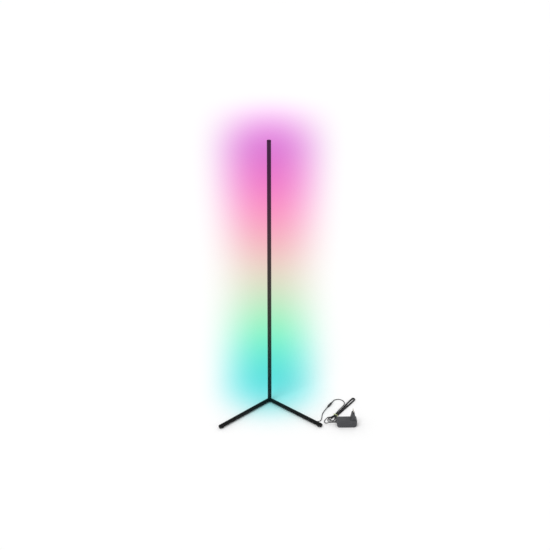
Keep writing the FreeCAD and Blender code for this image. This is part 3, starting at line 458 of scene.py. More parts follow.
def ribbed(start: float, end: float, wide: float, narrow: float, ribs: int, depth: float) -> Outline:
    """The half outline of a tapered sleeve with soft ribs.

    Args:
        start: where the ribs begin along the axis, in millimetres.
        end: where they end.
        wide: the radius at the start.
        narrow: the radius at the end.
        ribs: how many ribs there are.
        depth: depth of the grooves between them.

    Returns:
        Distances along the axis and radii, in order.
    """
    # One rib and its groove: share of its length, share of the groove's depth.
    rib = ((0.0, 0.45), (0.12, 0.1), (0.3, 0.0), (0.5, 0.1), (0.62, 0.45), (0.74, 1.0), (0.88, 1.0))
    profile = []
    for number in range(ribs):
        for share, drop in rib:
            run = (number + share) / ribs
            profile.append((start + (end - start) * run, wide + (narrow - wide) * run - depth * drop))
    return profile


def rounded_rim(at: float, radius: float, rounding: float, way: Way, steps: int) -> Outline:
    """The half outline of a rim's quarter round.

    Args:
        at: where the face behind the rim lies along the axis, in millimetres.
        radius: the piece's radius.
        rounding: the rounding's radius.
        way: whether the face looks along the axis or back.
        steps: how many straight bits make the round.

    Returns:
        Distances along the axis and radii, from the side to the face.
    """
    middle, inner = at - way.value * rounding, radius - rounding
    turns = [math.pi / 2 * step / steps for step in range(steps + 1)]
    return [(middle + way.value * rounding * math.sin(t), inner + rounding * math.cos(t)) for t in turns]


def round_rectangle(low: tuple[float, float], high: tuple[float, float], rounding: float) -> Outline:
    """A rectangle with round corners.

    Args:
        low: its lowest corner.
        high: its highest corner.
        rounding: its corners' radius.

    Returns:
        Its points in order.
    """
    (left, bottom), (right, top) = low, high
    middles = (
        (right - rounding, top - rounding), (left + rounding, top - rounding),
        (left + rounding, bottom + rounding), (right - rounding, bottom + rounding))
    points = []
    for quarter, (x, y) in enumerate(middles):
        for step in range(6):
            turn = math.pi / 2 * (quarter + step / 5)
            points.append((x + rounding * math.cos(turn), y + rounding * math.sin(turn)))
    return points


@dataclass
class Piece:
    """A mesh piece of the object, built by bmesh and placed in its own mesh."""

    name: str
    finish: Finish
    slot: Slot  # the record's material slot
    replaces: tuple[str, ...] = ()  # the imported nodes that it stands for
    # its mesh while it is built. A tag marks the corners that are in their place
    mesh: bmesh.types.BMesh = field(default_factory=bmesh.new)

    def spin(self, profile: Outline, steps: int = 48, there: Matrix | None = None) -> None:
        """Turns a half outline round the X axis into a closed solid.

        Args:
            profile: distance along the axis and radius of each corner, in millimetres. It begins
                and ends on the axis.
            steps: how many faces go round.
            there: where the solid goes, the origin if not given.
        """
        verts = [self.mesh.verts.new((x * MM, r * MM, 0)) for x, r in profile]
        edges = [self.mesh.edges.new(pair) for pair in zip(verts, verts[1:])]
        bmesh.ops.spin(
            self.mesh, geom=verts + edges, cent=(0, 0, 0), axis=(1, 0, 0), dvec=(0, 0, 0),
            angle=2 * math.pi, steps=steps, use_merge=True, use_duplicate=False)
        new = [vert for vert in self.mesh.verts if not vert.tag]
        bmesh.ops.remove_doubles(self.mesh, verts=new, dist=1e-7)
        self._place_new(there)

    def box(
        self, low: Sequence[float], high: Sequence[float], there: Matrix | None = None,
    ) -> list[Edge]:
        """Adds a block between two corners.

        Args:
            low: the lowest corner, in millimetres.
            high: the highest corner, in millimetres.
            there: where the block goes, the origin if not given.

        Returns:
            The block's edges, for bevels.
        """
        verts = bmesh.ops.create_cube(self.mesh, size=1)["verts"]
        for vert in verts:
            vert.co = Vector((low[i] + (high[i] - low[i]) * (vert.co[i] + 0.5)) * MM for i in range(3))
        self._place_new(there)
        return list(dict.fromkeys(edge for vert in verts for edge in vert.link_edges))

    def loft(self, rings: Sequence[Points], closed: bool = False) -> None:
        """Joins rings of corners, one after the other, into a solid.

        Args:
            rings: the rings, in millimetres, all with the same number of corners.
            closed: whether the last ring joins the first one, and not a cap on either.
        """
        made = [[self.mesh.verts.new(corner * MM) for corner in ring] for ring in rings]
        for ring, following in zip(made, made[1:] + made[:closed]):
            for i in range(len(ring)):
                self.mesh.faces.new((ring[i - 1], ring[i], following[i], following[i - 1]))
        for cap in () if closed else (made[0], made[-1]):
            self.mesh.faces.new(cap)
        self._place_new()

    def bevel(self, edges: Iterable[Edge], width_mm: float, segments: int) -> None:
        """Rounds edges.

        Args:
            edges: the edges to round.
            width_mm: the rounding's radius.
            segments: how many faces go round it.
        """
        bmesh.ops.bevel(
            self.mesh, geom=list(edges), offset=width_mm * MM, offset_type="OFFSET", segments=segments,
            profile=0.5, affect="EDGES", material=-1, clamp_overlap=True)
        for vert in self.mesh.verts:
            vert.tag = True

    def finish_up(self) -> Thing:
        """Closes the mesh, gives it its material and body, and shows it.

        Returns:
            The object.
        """
        bmesh.ops.recalc_face_normals(self.mesh, faces=self.mesh.faces)
        for edge in self.mesh.edges:
            edge.smooth = not edge.is_manifold or edge.calc_face_angle(0.0) < CREASE
        for face in self.mesh.faces:
            face.smooth = True
        log.info("%s: %d faces, %s", self.name, len(self.mesh.faces), self.finish.name)
        thing = show_mesh(self.name, self.mesh, self.finish.make())
        if self.replaces:
            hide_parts(*self.replaces)
        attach(thing, BODY)
        return thing

    def _place_new(self, there: Matrix | None = None) -> None:
        """Moves the corners that no earlier step placed, and marks them as placed.

        Args:
            there: the move, none if they are in their place.
        """
        new = [vert for vert in self.mesh.verts if not vert.tag]
        if there:
            bmesh.ops.transform(self.mesh, matrix=there, verts=new)
        for vert in new:
            vert.tag = True


@dataclass(frozen=True)
class Hank:
    """The tied hank of cord: three loops drawn in at the tie, in two layers."""

    origin: tuple[float, float] = (333.0, -154.0)  # the middle of the tie on the floor, in millimetres
    angle: float = 56.0  # the way the bundle runs, in degrees from X
    pitch: float = 4.6  # distance between strands at the tie
    layer: float = 5.0  # height of the second layer over the first
    near: float = -42.0  # where the near turns start, behind the tie
    # each loop's reach to the left and to the right at the near turns
    near_widths: tuple[tuple[float, float], ...] = ((29, 21), (20, 10), (7, 14))
    far: float = 188.0  # where the far turns start, ahead of the tie
    lift: float = 1.1  # how much the tie's strap raises the strands
    last: tuple[float, float] = (75.0, 10.6)  # where the last strand ends, ahead of the tie and to its left

    def point(self, along: float, across: float, height: float) -> Vector:
        """A point in the hank's own directions.

        Args:
            along: distance ahead of the tie, in millimetres.
            across: distance to the left.
            height: height over the ground plane.

        Returns:
            The point in the row frame, in millimetres.
        """
        turn = math.radians(self.angle)
        x = self.origin[0] + along * math.cos(turn) - across * math.sin(turn)
        y = self.origin[1] + along * math.sin(turn) + across * math.cos(turn)
        return Vector((x, y, height))

    @property
    def ahead(self) -> Vector:
        """The bundle's direction."""
        return self.point(1, 0, 0) - self.point(0, 0, 0)

    def easing(self, start: Vector, end: Vector, heading: Vector) -> Points:
        """The two control points that carry a strand sideways, with the same heading at both ends."""
        reach = (end - start).length ** 2 / (4 * heading.dot(end - start))
        return [start + heading * reach, end - heading * reach]

    def turn(self, at: float, left: float, right: float, height: float, way: Way) -> Points:
        """A half turn of the cord at one end of the bundle.

        Args:
            at: where the turn starts, along the bundle.
            left: the strand's distance on the left of the bundle's line.
            right: the strand's distance on the right.
            height: the turn's height.
            way: ahead at the far end, back at the near end.

        Returns:
            Four control points, from the left to the right at the far end and back at the near one.
        """
        middle, radius = (left - right) / 2, (left + right) / 2
        rim = radius / math.cos(math.pi / 8)
        swings = [step * math.pi / 8 * way.value for step in (3, 1, -1, -3)]
        return [
            self.point(at + way.value * rim * math.cos(swing), middle + rim * math.sin(swing), height)
            for swing in swings]

    def route(self) -> Points:
        """The hank's line, all its widths worked out from the pitch and the near turns.

        Returns:
            Its control points, from the tail's end to the last strand's end.
        """
        low, high = CORD / 2, CORD / 2 + self.layer
        fold, outer, inner = 1.4 * CORD, 1.5 * self.pitch, 0.5 * self.pitch
        # Each loop's half width at the tie and at the far end, and its height.
        shapes = ((outer, fold + self.pitch, low), (inner, fold, low), (inner, fold + self.pitch / 2, high))
        # Each near turn leads to the next loop's left and height, and the last one to the last strand's.
        nexts = [(left, low) for left, _ in self.near_widths[1:]] + [(self.near_widths[-1][1], high)]
        ahead, back = self.ahead, -self.ahead
        at = self.point(self.near, self.near_widths[0][0], low)
        points = [at - ahead * CORD]
        for (_, right), (tie, far, z), (next_left, next_z) in zip(self.near_widths, shapes, nexts):
            tie_left, tie_right = self.point(0, tie, z + self.lift), self.point(0, -tie, z + self.lift)
            far_left, far_right = self.point(self.far, far, z), self.point(self.far, -far, z)
            near_right = self.point(self.near, -right, next_z)
            points += self.easing(at, tie_left, ahead) + [tie_left] + self.easing(tie_left, far_left, ahead)
            points += self.turn(self.far, far, far, z, Way.AHEAD)
            points += self.easing(far_right, tie_right, back) + [tie_right]
            points += self.easing(tie_right, near_right, back)
            points += self.turn(self.near, next_left, right, next_z, Way.BACK)
            at = self.point(self.near, next_left, next_z)
        last, end = self.point(0, outer, high + self.lift), self.point(*self.last, high + self.lift)
        points += self.easing(at, last, ahead) + [last]
        return points + self.easing(last, end - ahead * CORD, ahead) + [end]


@dataclass(frozen=True)
class Coupling:
    """The moulded in-line socket and the plug in it, on the floor beside the hank."""

    at: tuple[float, float, float] = (296.0, -76.0, 5.5)  # where the lead enters the socket, in millimetres
    angle: float = 60.0  # its direction in degrees from X
    radius: float = 5.5
    slimmer: float = 0.4  # how much less the plug's radius is
    socket: float = 34.0
    plug: float = 26.0
    relief: float = 12.0
    neck: float = CORD / 2 + 1.8  # radius of a strain relief where it joins the body
    mouth: float = CORD / 2 + 0.9  # its radius where the cord comes out
    bore: float = 2.85  # radius of the socket's mouth for the barrel
    bore_depth: float = 10.5
    step: float = 0.35  # depth of the line round the socket's end and of the shoulder
    ribs: int = 4  # how many ribs each sleeve and the plug's grip have
    rib_depth: float = 0.55

    @property
    def axis(self) -> Vector:
        """The coupling's direction."""
        return Vector((math.cos(math.radians(self.angle)), math.sin(math.radians(self.angle)), 0))

    @property
    def start(self) -> Vector:
        """Where the lead enters the socket."""
        return Vector(self.at)

    @property
    def end(self) -> Vector:
        """Where the supply's cord leaves the plug."""
        return self.start + self.axis * (self.socket + self.plug)

    def make_socket(self) -> Thing:
        """Makes the socket: a ribbed sleeve, a barrel with a line round its end, and its mouth.

        Returns:
            The socket.
        """
        rim, shoulder = self.radius, self.relief + 3
        profile = [(0, 0), (0, self.mouth - 0.4), (0.3, self.mouth - 0.1)]
        profile += ribbed(0.6, self.relief, self.mouth, self.neck, self.ribs, self.rib_depth)
        profile += [(self.relief + 0.6, self.neck + 0.4), (shoulder - 0.8, rim - self.step), (shoulder, rim)]
        for back, depth in ((5.5, 0.0), (5.2, self.step), (4.4, self.step), (4.1, 0.0)):
            profile.append((self.socket - back, rim - depth))
        profile += rounded_rim(self.socket, rim, 0.6, Way.AHEAD, 4)
        profile += [(self.socket, self.bore + 0.3), (self.socket - 0.3, self.bore)]
        profile += [(self.socket - self.bore_depth, self.bore), (self.socket - self.bore_depth, 0)]
        piece = Piece("inline_socket", COUPLING, Slot.COUPLING, ("socket_body",))
        piece.spin(profile, there=place_along(self.start, self.axis))
        return piece.finish_up()

    def make_plug(self) -> Thing:
        """Makes the plug: a rounded face, a ribbed grip, and a ribbed sleeve.

        Returns:
            The plug.
        """
        end, rim = self.socket + self.plug, self.radius - self.slimmer
        sleeve = end - self.relief
        profile = [(self.socket, 0)] + rounded_rim(self.socket, rim, 0.5, Way.BACK, 4)[::-1]
        profile += ribbed(self.socket + 2, sleeve - 4, rim, rim, self.ribs, 0.5)
        profile += [(sleeve - 3.4, rim), (sleeve - 0.6, self.neck + 0.4)]
        profile += ribbed(sleeve, end - 0.6, self.neck, self.mouth, self.ribs, self.rib_depth)
        profile += [(end - 0.3, self.mouth - 0.1), (end, self.mouth - 0.4), (end, 0)]
        piece = Piece("inline_plug", COUPLING, Slot.COUPLING, ("dc_plug_body",))
        piece.spin(profile, there=place_along(self.start, self.axis))
        return piece.finish_up()


@dataclass(frozen=True)
class StrainRelief:
    """The ribbed soft sleeve where the cord leaves the supply."""

    at: tuple[float, float, float] = (330.0, -235.0, 19.0)  # where it leaves the case, in millimetres
    length: float = 20.0
    wide: float = 4.0  # its radius at the case
    narrow: float = 2.9  # its radius at its end
    wall: float = 2.2  # thickness of the case's wall, which a flange holds from inside

    def build(self) -> Thing:
        """Makes the sleeve.

        Returns:
            The sleeve.
        """
        flange, inside = self.wide + 1, -self.wall
        profile = [(inside - 2, 0), (inside - 2, flange), (inside, flange), (inside, self.wide)]
        profile.append((0.3, self.wide))
        profile += ribbed(0.6, self.length - 1.2, self.wide, self.narrow, 5, 0.8)
        profile += [(self.length - 0.9, self.narrow), (self.length - 0.2, self.narrow - 0.1)]
        profile += [(self.length, self.narrow - 0.4), (self.length, 0)]
        relief = Piece("supply_relief_sleeve", RELIEF_RUBBER, Slot.RELIEF, ("supply_relief",))
        relief.spin(profile, there=place_along(Vector(self.at), Vector((-1, 0, 0))))
        return relief.finish_up()


@dataclass(frozen=True)
class CableTie:
    """The nylon tie round the hank's waist: a flat strap, its lock and its cut, toothed tail."""

    hank: Hank
    half: float = 9.1  # half the strap's inside width, in millimetres
    low: float = 1.0  # height of the strap's inside under the strands
    high: float = 10.3  # height of its inside over them
    thick: float = 1.0
    wide: float = 4.0  # the strap's width along the bundle
    bevel: float = 0.25  # bevel along the strap's outer edges
    # the lock's half width, its start and end across the bundle, and its top over the strap
    lock: tuple[float, float, float, float] = (2.6, 1.5, 7.0, 3.2)
    # the tail's half width, start, end, and underside over the strap
    tail: tuple[float, float, float, float] = (1.7, 6.6, 14.0, 0.9)
    # a tooth's half width, start, length and distance to the next
    tooth: tuple[float, float, float, float] = (1.1, 8.0, 0.6, 1.4)

    def outline(self, spare: float) -> Outline:
        """The strap's outline across and up, a distance out from its inside."""
        low, high = (-self.half - spare, self.low - spare), (self.half + spare, self.high + spare)
        return round_rectangle(low, high, 0.4 + spare)

    def build(self) -> Thing:
        """Makes the strap, its lock and its tail as one moulding.

        Returns:
            The tie.
        """
        tie = Piece("waist_tie", TIE, Slot.TIE, ("cable_tie",))
        side, top = self.wide / 2, self.high + self.thick
        rings = []
        for (a, b), (c, d) in zip(self.outline(0.0), self.outline(self.thick)):
            m, n = a + (c - a) * 0.75, b + (d - b) * 0.75
            section = [(-side, a, b), (side, a, b), (side, m, n)]
            section += [(side - self.bevel, c, d), (self.bevel - side, c, d), (-side, m, n)]
            rings.append([self.hank.point(*corner) for corner in section])
        tie.loft(rings, closed=True)
        wide, start, end, over = self.lock
        self._block(tie, (-wide, start, top - 0.4), (wide, end, top + over), 0.7)
        wide, start, end, over = self.tail
        self._block(tie, (-wide, start, top + over), (wide, end, top + over + self.thick), 0.3)
        wide, start, length, pitch = self.tooth
        for number in range(4):
            across = start + number * pitch
            self._block(tie, (-wide, across, top + 0.7), (wide, across + length, top + 1.1), 0.1)
        return tie.finish_up()

    def _block(self, tie: Piece, low: Sequence[float], high: Sequence[float], rounding: float) -> None:
        """Adds a rounded block given along, across and up from the bundle's line.

        Args:
            tie: the piece it goes into.
            low: its lowest corner in millimetres.
            high: its highest corner.
            rounding: its edges' radius.
        """
        turn = Matrix.Rotation(math.radians(self.hank.angle), 4, "Z")
        there = Matrix.Translation(Vector((*self.hank.origin, 0)) * MM) @ turn
        tie.bevel(tie.box(low, high, there), rounding, 3)


# Routes, in millimetres. The lead leaves the rubber elbow behind the pole,
LEAD_START = ((0, 20, 25), (0, 20, 12.35), (7.32, 12.68, 2))
# runs behind the right leg: distance along the leg and behind its axis,
LEAD_TRACK = ((22, 15), (60, 18), (108, 20.5), (160, 18.5), (212, 21), (262, 20), (298, 24))
# and crosses the floor from the leg's end to the socket.
LEAD_END = (
    (238, -202, 2), (251, -197.5, 2), (259, -182, 2), (262, -160, 2), (266, -134, 2), (276.5, -109.5, 4.4))
# The supply's cord goes round from the plug to the hank,
LOOP_ROUTE = ((339, 1, 2.8), (358, 9, 2), (378, 1, 2), (389, -17, 2), (390, -38, 4.2), (384, -57.5, 7.2))
# and from the hank up into the strain relief.
TAIL_ROUTE = ((270.5, -203, 2), (274, -218, 4), (284, -230, 11), (296, -235, 19), (310, -235, 19))


@dataclass(frozen=True)
class Cords:
    """The lamp's own lead with its socket, and the supply's cord with its plug, hank and tie."""

    leg_angle: float = -45.0  # the right leg's direction in degrees from X
    coupling: Coupling = Coupling()
    hank: Hank = Hank()

    def lead_route(self) -> Points:
        """The lead's line.

        Returns:
            Its control points, from the rubber elbow to the socket.
        """
        turn = math.radians(self.leg_angle)
        along = Vector((math.cos(turn), math.sin(turn), 0))
        behind = Vector((-along.y, along.x, CORD / 2))
        points = [Vector(place) for place in LEAD_START]
        for distance, offset in LEAD_TRACK:
            flat = along * distance + behind * offset
            points.append(Vector((flat.x, flat.y, CORD / 2)))
        points += [Vector(place) for place in LEAD_END]
        return points + [self.coupling.start - self.coupling.axis * STRAIGHT, self.coupling.start]

    def supply_route(self) -> Points:
        """The supply cord's line.

        Returns:
            Its control points, from the plug through the hank's loops to the supply.
        """
        hank, ahead = self.hank.route()[::-1], self.hank.ahead
        points = [self.coupling.end, self.coupling.end + self.coupling.axis * STRAIGHT]
        points += [Vector(place) for place in LOOP_ROUTE]
        points += [hank[0] + ahead * STRAIGHT] + hank + [hank[-1] - ahead * STRAIGHT]
        return points + [Vector(place) for place in TAIL_ROUTE]

    def draw(self, name: str, route: Points, replaces: Sequence[str]) -> Thing:
        """Makes a cord along its route.

        Args:
            name: the piece's name.
            route: its control points in millimetres.
            replaces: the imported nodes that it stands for.

        Returns:
            The curve object.
        """
        data = bpy.data.curves.new(name, "CURVE")
        data.dimensions = "3D"
        data.resolution_u = 10
        data.bevel_depth = CORD / 2 * MM
        data.bevel_resolution = 5
        data.use_fill_caps = True
        spline = data.splines.new("NURBS")
        spline.points.add(len(route) - 1)
        for point, place in zip(spline.points, route):
            point.co = (*(place * MM), 1.0)
        spline.order_u = 3
        spline.use_endpoint_u = True
        data.materials.append(SHEATH.make())
        cord = show(name, data)
        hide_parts(*replaces)
        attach(cord, BODY)
        log.info("%s: %d control points, %s", name, len(route), SHEATH.name)
        return cord

    def build(self) -> None:
        lead = self.draw("lamp_lead_cord", self.lead_route(), ["lamp_lead"])
        supply = self.draw("supply_cord", self.supply_route(), ["cord_loop", "cord_hank", "cord_tail"])
        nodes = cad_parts
        self.coupling.make_socket()
        on_supply = [self.coupling.make_plug(), nodes["dc_plug_barrel"]]
        on_supply += [CableTie(self.hank).build(), StrainRelief().build()]


@dataclass(frozen=True)
class SupplyCase:
    """The plug-in supply: two shells that meet in a fine groove, and the wedge with the pins."""

    corner: tuple[float, float] = (330.0, -258.0)  # its lowest corner in millimetres
    size: tuple[float, float, float] = (100.0, 46.0, 38.0)  # its length, depth and height
    split: float = 25.0  # height at which the shells meet
    round_off: float = 17.0  # rounding of its long lower corners
    edge: float = 2.5  # rounding of its other edges
    groove: float = 0.7  # depth of the groove between the shells
    field_margin: float = 3.0  # distance of the bare field from the front's edges
    field_depth: float = 0.3  # how far the field is sunk
    wedge_at: tuple[float, float] = (81.5, 23.0)  # the wedge's middle, from the lowest corner
    wedge_foot: tuple[float, float] = (27.0, 36.0)  # the wedge's length and depth on the upper shell
    wedge_top: tuple[float, float] = (13.7, 35.3)  # its length and depth at the pins
    wedge_height: float = 34.0  # its height over the upper shell
    grip_foot: float = 48.0  # height of the lowest grip groove
    grip_pitch: float = 4.4  # distance between grip grooves
    grip_depth: float = 0.55
    pin_offset: float = 9.3  # distance of each pin from the wedge's middle
    pin_radius: float = 2.0
    pin_length: float = 19.0  # how far they stand out
    collar: float = 10.0  # length of their black collars

    def build(self) -> None:
        """Makes the shells, the wedge and the pins."""
        self._lower()
        self._upper()
        self._wedge()
        self._pins()

    def _lower(self) -> None:
        """The deep shell that lies on the floor."""
        shell = Piece("supply_case_lower", CASE, Slot.SUPPLY, ("supply_lower_shell",))
        (x, y), (length, depth, _) = self.corner, self.size
        edges = shell.box((x, y, 0), (x + length, y + depth, self.split))
        shell.bevel([e for e in edges if self._runs_back(e) and self._middle(e).z < MM], self.round_off, 10)
        creases = [e for e in shell.mesh.edges if e.is_manifold and e.calc_face_angle(0.0) > 0.5]
        shell.bevel([e for e in creases if self._middle(e).z < (self.split - 0.1) * MM], self.edge, 5)
        high = [e for e in shell.mesh.edges if min(v.co.z for v in e.verts) > (self.split - 0.01) * MM]
        shell.bevel(high, self.groove, 2)
        self._bare_field(shell)
        shell.finish_up()

    def _upper(self) -> None:
        """The shallow shell with the plug."""
        shell = Piece("supply_case_upper", CASE, Slot.SUPPLY, ("supply_upper_shell",))
        (x, y), (length, depth, height) = self.corner, self.size
        edges = shell.box((x, y, self.split), (x + length, y + depth, height))
        shell.bevel([e for e in edges if self._middle(e).z > (self.split + 0.1) * MM], self.edge, 6)
        low = [e for e in shell.mesh.edges if max(v.co.z for v in e.verts) < (self.split + 0.01) * MM]
        shell.bevel(low, self.groove, 2)
        shell.finish_up()

    def _bare_field(self, shell: Piece) -> None:
        """Sinks a bare field into the lower shell's front, where such a case has its plate.

        Args:
            shell: the lower shell, rounded and in its place.
        """
        fronts = [face for face in shell.mesh.faces if face.normal.y < -0.99]
        fronts = [f for f in fronts if abs(f.calc_center_median().y - self.corner[1] * MM) < 1e-5]
        front = max(fronts, key=lambda face: face.calc_area())
        for thickness, depth in ((self.field_margin, 0.0), (self.field_depth, -self.field_depth)):
            bmesh.ops.inset_region(shell.mesh, faces=[front], thickness=thickness * MM, depth=depth * MM)

    def _wedge(self) -> None:
        """The wedge on the upper shell, with grip grooves round it."""
        foot = self.size[2]
        top = foot + self.wedge_height
        # Heights, each with how far the side is drawn in along and across.
        levels = [(foot - 0.4, 0.0, 0.0), (foot + 0.6, 0.0, 0.0)]
        for number in range(4):
            low = self.grip_foot + number * self.grip_pitch
            for up, inwards in ((0.0, 0.0), (0.5, self.grip_depth), (1.7, self.grip_depth), (2.2, 0.0)):
                levels.append((low + up, inwards, 0.0))
        for down, inwards in ((1.4, 0.0), (0.6, 0.2), (0.15, 0.6), (0.0, 1.2)):
            levels.append((top - down, inwards, inwards))
        rings = []
        for height, *inwards in levels:
            share = max(0.0, (height - foot) / self.wedge_height)
            half = [
                (low + (high - low) * share) / 2 - less
                for low, high, less in zip(self.wedge_foot, self.wedge_top, inwards)]
            outline = round_rectangle((-half[0], -half[1]), (half[0], half[1]), 4.0)
            rings.append([self._on_wedge(x, y, height) for x, y in outline])
        wedge = Piece("supply_plug_wedge", CASE, Slot.SUPPLY, ("plug_neck",))
        wedge.loft(rings)
        wedge.finish_up()

    def _pins(self) -> None:
        """The round pins with their black collars."""
        pins = Piece("mains_pins", NICKEL, Slot.CONTACT, ("plug_pins",))
        collars = Piece("pin_collars", COUPLING, Slot.SUPPLY)
        radius, end = self.pin_radius, self.collar
        collar = [(-0.5, 0), (-0.5, radius), (end - 0.3, radius), (end, radius - 0.2), (end, 0)]
        pin = [(end - 0.1, 0), (end - 0.1, radius - 0.3), (end + 0.1, radius)]
        pin += rounded_rim(self.pin_length, radius, radius - 0.1, Way.AHEAD, 8) + [(self.pin_length, 0)]
        for side in (-self.pin_offset, self.pin_offset):
            foot = self._on_wedge(0, side, self.size[2] + self.wedge_height)
            there = place_along(foot, Vector((0, 0, 1)))
            collars.spin(collar, 32, there)
            pins.spin(pin, 32, there)
        collars.finish_up()
        pins.finish_up()

    def _on_wedge(self, x: float, y: float, height: float) -> Vector:
        """A point given from the wedge's middle."""
        return Vector((self.corner[0] + self.wedge_at[0] + x, self.corner[1] + self.wedge_at[1] + y, height))

    def _middle(self, edge: Edge) -> Vector:
        """The middle of an edge."""
        return (edge.verts[0].co + edge.verts[1].co) / 2

    def _runs_back(self, edge: Edge) -> bool:
        """Whether an edge runs from front to back."""
        return abs((edge.verts[0].co - edge.verts[1].co).normalized().y) > 0.99


@dataclass(frozen=True)
class TubeEnds:
    """The moulded caps of the legs and the pole, each with a fine step where it meets its tube."""

    rounding: float = 2.5  # a cap's rounding, in millimetres
    step: float = 0.3
    leg_reach: float = 358.0  # the legs' length from the pole's axis
    axis_height: float = 12.0  # height of the legs' axes
    leg_plug: tuple[float, float] = (8.4, 12.0)  # radius and depth of a leg cap's part inside its tube
    pole_plug: tuple[float, float] = (3.0, 0.5)  # the same of the pole's cap

    def build(self) -> None:
        """Makes the three caps."""
        for side, turn in (("left", -135), ("right", -45)):
            along = Vector((math.cos(math.radians(turn)), math.sin(math.radians(turn)), 0))
            foot = along * (self.leg_reach - CAP_HEIGHT) + Vector((0, 0, self.axis_height))
            self._cap(f"{side}_leg_cap", f"{side}_end_cap", foot, along, self.leg_plug)
        foot = Vector((0, 0, LAMP_HEIGHT - CAP_HEIGHT))
        self._cap("pole_cap", "top_cap", foot, Vector((0, 0, 1)), self.pole_plug)

    def _cap(self, name: str, node: str, foot: Vector, along: Vector, inside: tuple[float, float]) -> None:
        """One cap, with a shallow dimple in its face.

        Args:
            name: its name.
            node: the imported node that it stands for.
            foot: the middle of the tube's end, in millimetres.
            along: the way out of the tube.
            inside: radius and depth of the part inside the tube.
        """
        plug, depth = inside
        neck = TUBE_RADIUS - self.step
        profile = [(-depth, 0), (-depth, plug - 0.4), (0.4 - depth, plug), (0, plug)]
        profile += [(0, neck), (0.45, neck), (0.65, TUBE_RADIUS)]
        profile += rounded_rim(CAP_HEIGHT, TUBE_RADIUS, self.rounding, Way.AHEAD, 10)
        profile += [(CAP_HEIGHT, 1.6), (CAP_HEIGHT - 0.25, 1.2), (CAP_HEIGHT - 0.25, 0)]
        cap = Piece(name, CAP_PLASTIC, Slot.CAP, (node,))
        cap.spin(profile, 64, place_along(foot, along))
        cap.finish_up()


@dataclass(frozen=True)
class LeadElbow:
    """The rubber elbow that leads the cord out of the pole's back and down, with soft ribs on its drop."""

    height: float = 48.0  # height at which it leaves the pole, in millimetres
    inside: float = 6.0  # where it starts, behind the pole's axis
    skin: float = 9.5  # where it comes out of the cable cover
    reach: float = 20.0  # distance of its drop from the pole's axis
    drop: float = 23.0
    bend: float = 5.5
    bore: float = 2.5  # its radius in the cover's hole
    wide: float = 4.0  # its radius at the pole
    narrow: float = 2.7  # its radius where the cord comes out
    ribs: int = 5
    rib_depth: float = 0.6

    def build(self) -> None:
        """Makes the elbow."""
        skin, wide = self.skin, self.wide
        way_out = ((self.inside, self.bore), (skin, self.bore), (skin + 0.3, wide), (skin + 2.0, wide))
        rings = [self._ring(y, self.height, 0.0, radius) for y, radius in way_out]
        for step in range(9):
            turn = math.pi / 2 * step / 8
            y = self.reach - self.bend + self.bend * math.sin(turn)
            z = self.height - self.bend + self.bend * math.cos(turn)
            rings.append(self._ring(y, z, turn, wide))
        drop = ribbed(self.bend + 0.6, self.drop - 1.0, wide - 0.1, self.narrow, self.ribs, self.rib_depth)
        drop += [(self.drop - 0.5, self.narrow), (self.drop, self.narrow - 0.3)]
        rings += [self._ring(self.reach, self.height - down, math.pi / 2, radius) for down, radius in drop]
        elbow = Piece("rubber_elbow", RELIEF_RUBBER, Slot.RELIEF, ("lead_outlet",))
        elbow.loft(rings)
        elbow.finish_up()

    def _ring(self, y: float, z: float, turn: float, radius: float) -> Points:
        """A round section, its way turned from level towards straight down."""
        across = [(radius * math.cos(a), radius * math.sin(a)) for a in (math.pi * i / 16 for i in range(32))]
        return [Vector((x, y + up * math.sin(turn), z + up * math.cos(turn))) for x, up in across]


@dataclass(frozen=True)
class GrubScrews:
    """The socket screws that hold the pole's lengths to their splices, sunk flush in its side."""

    first: float = 26.0  # height at which the pole's lowest length starts, in millimetres
    apart: float = 15.0  # distance of each screw from its joint
    line: float = -2.5  # distance of the screws in front of the pole's middle
    inner: float = 2.0  # where they start along X
    outer: float = 9.05  # where they end
    radius: float = 1.5
    key: float = 0.85  # half the width across the corners of the key's socket

    def build(self) -> None:
        """Makes the four screws."""
        screws = Piece("splice_grub_screws", SCREW, Slot.SCREW, ("splice_screws",))
        length = (LAMP_HEIGHT - CAP_HEIGHT - self.first) / 3
        for joint in (self.first + length, self.first + 2 * length):
            for offset in (-self.apart, self.apart):
                self._screw(screws, joint + offset)
        screws.finish_up()

    def _screw(self, screws: Piece, height: float) -> None:
        """One screw: a chamfered shank whose end is sunk to a six-sided socket.

        Args:
            screws: the piece it goes into.
            height: its height.
        """
        inner, outer, radius, key = self.inner, self.outer, self.radius, self.key
        shank = ((inner, radius - 0.4), (inner + 0.4, radius), (outer - 0.3, radius), (outer, radius - 0.3))
        angles = [2 * math.pi * i / 24 for i in range(24)]
        hexagon = [math.cos(math.pi / 6) / math.cos(a % (math.pi / 3) - math.pi / 6) for a in angles]
        stations = [(x, [r] * 24) for x, r in (*shank, (outer, key + 0.1))]
        stations += [(x, [key * pull for pull in hexagon]) for x in (outer - 0.15, outer - 1.4)]
        rings = []
        for x, radii in stations:
            around = [(r * math.cos(a), r * math.sin(a)) for a, r in zip(angles, radii)]
            rings.append([Vector((x, self.line + y, height + z)) for y, z in around])
        screws.loft(rings)


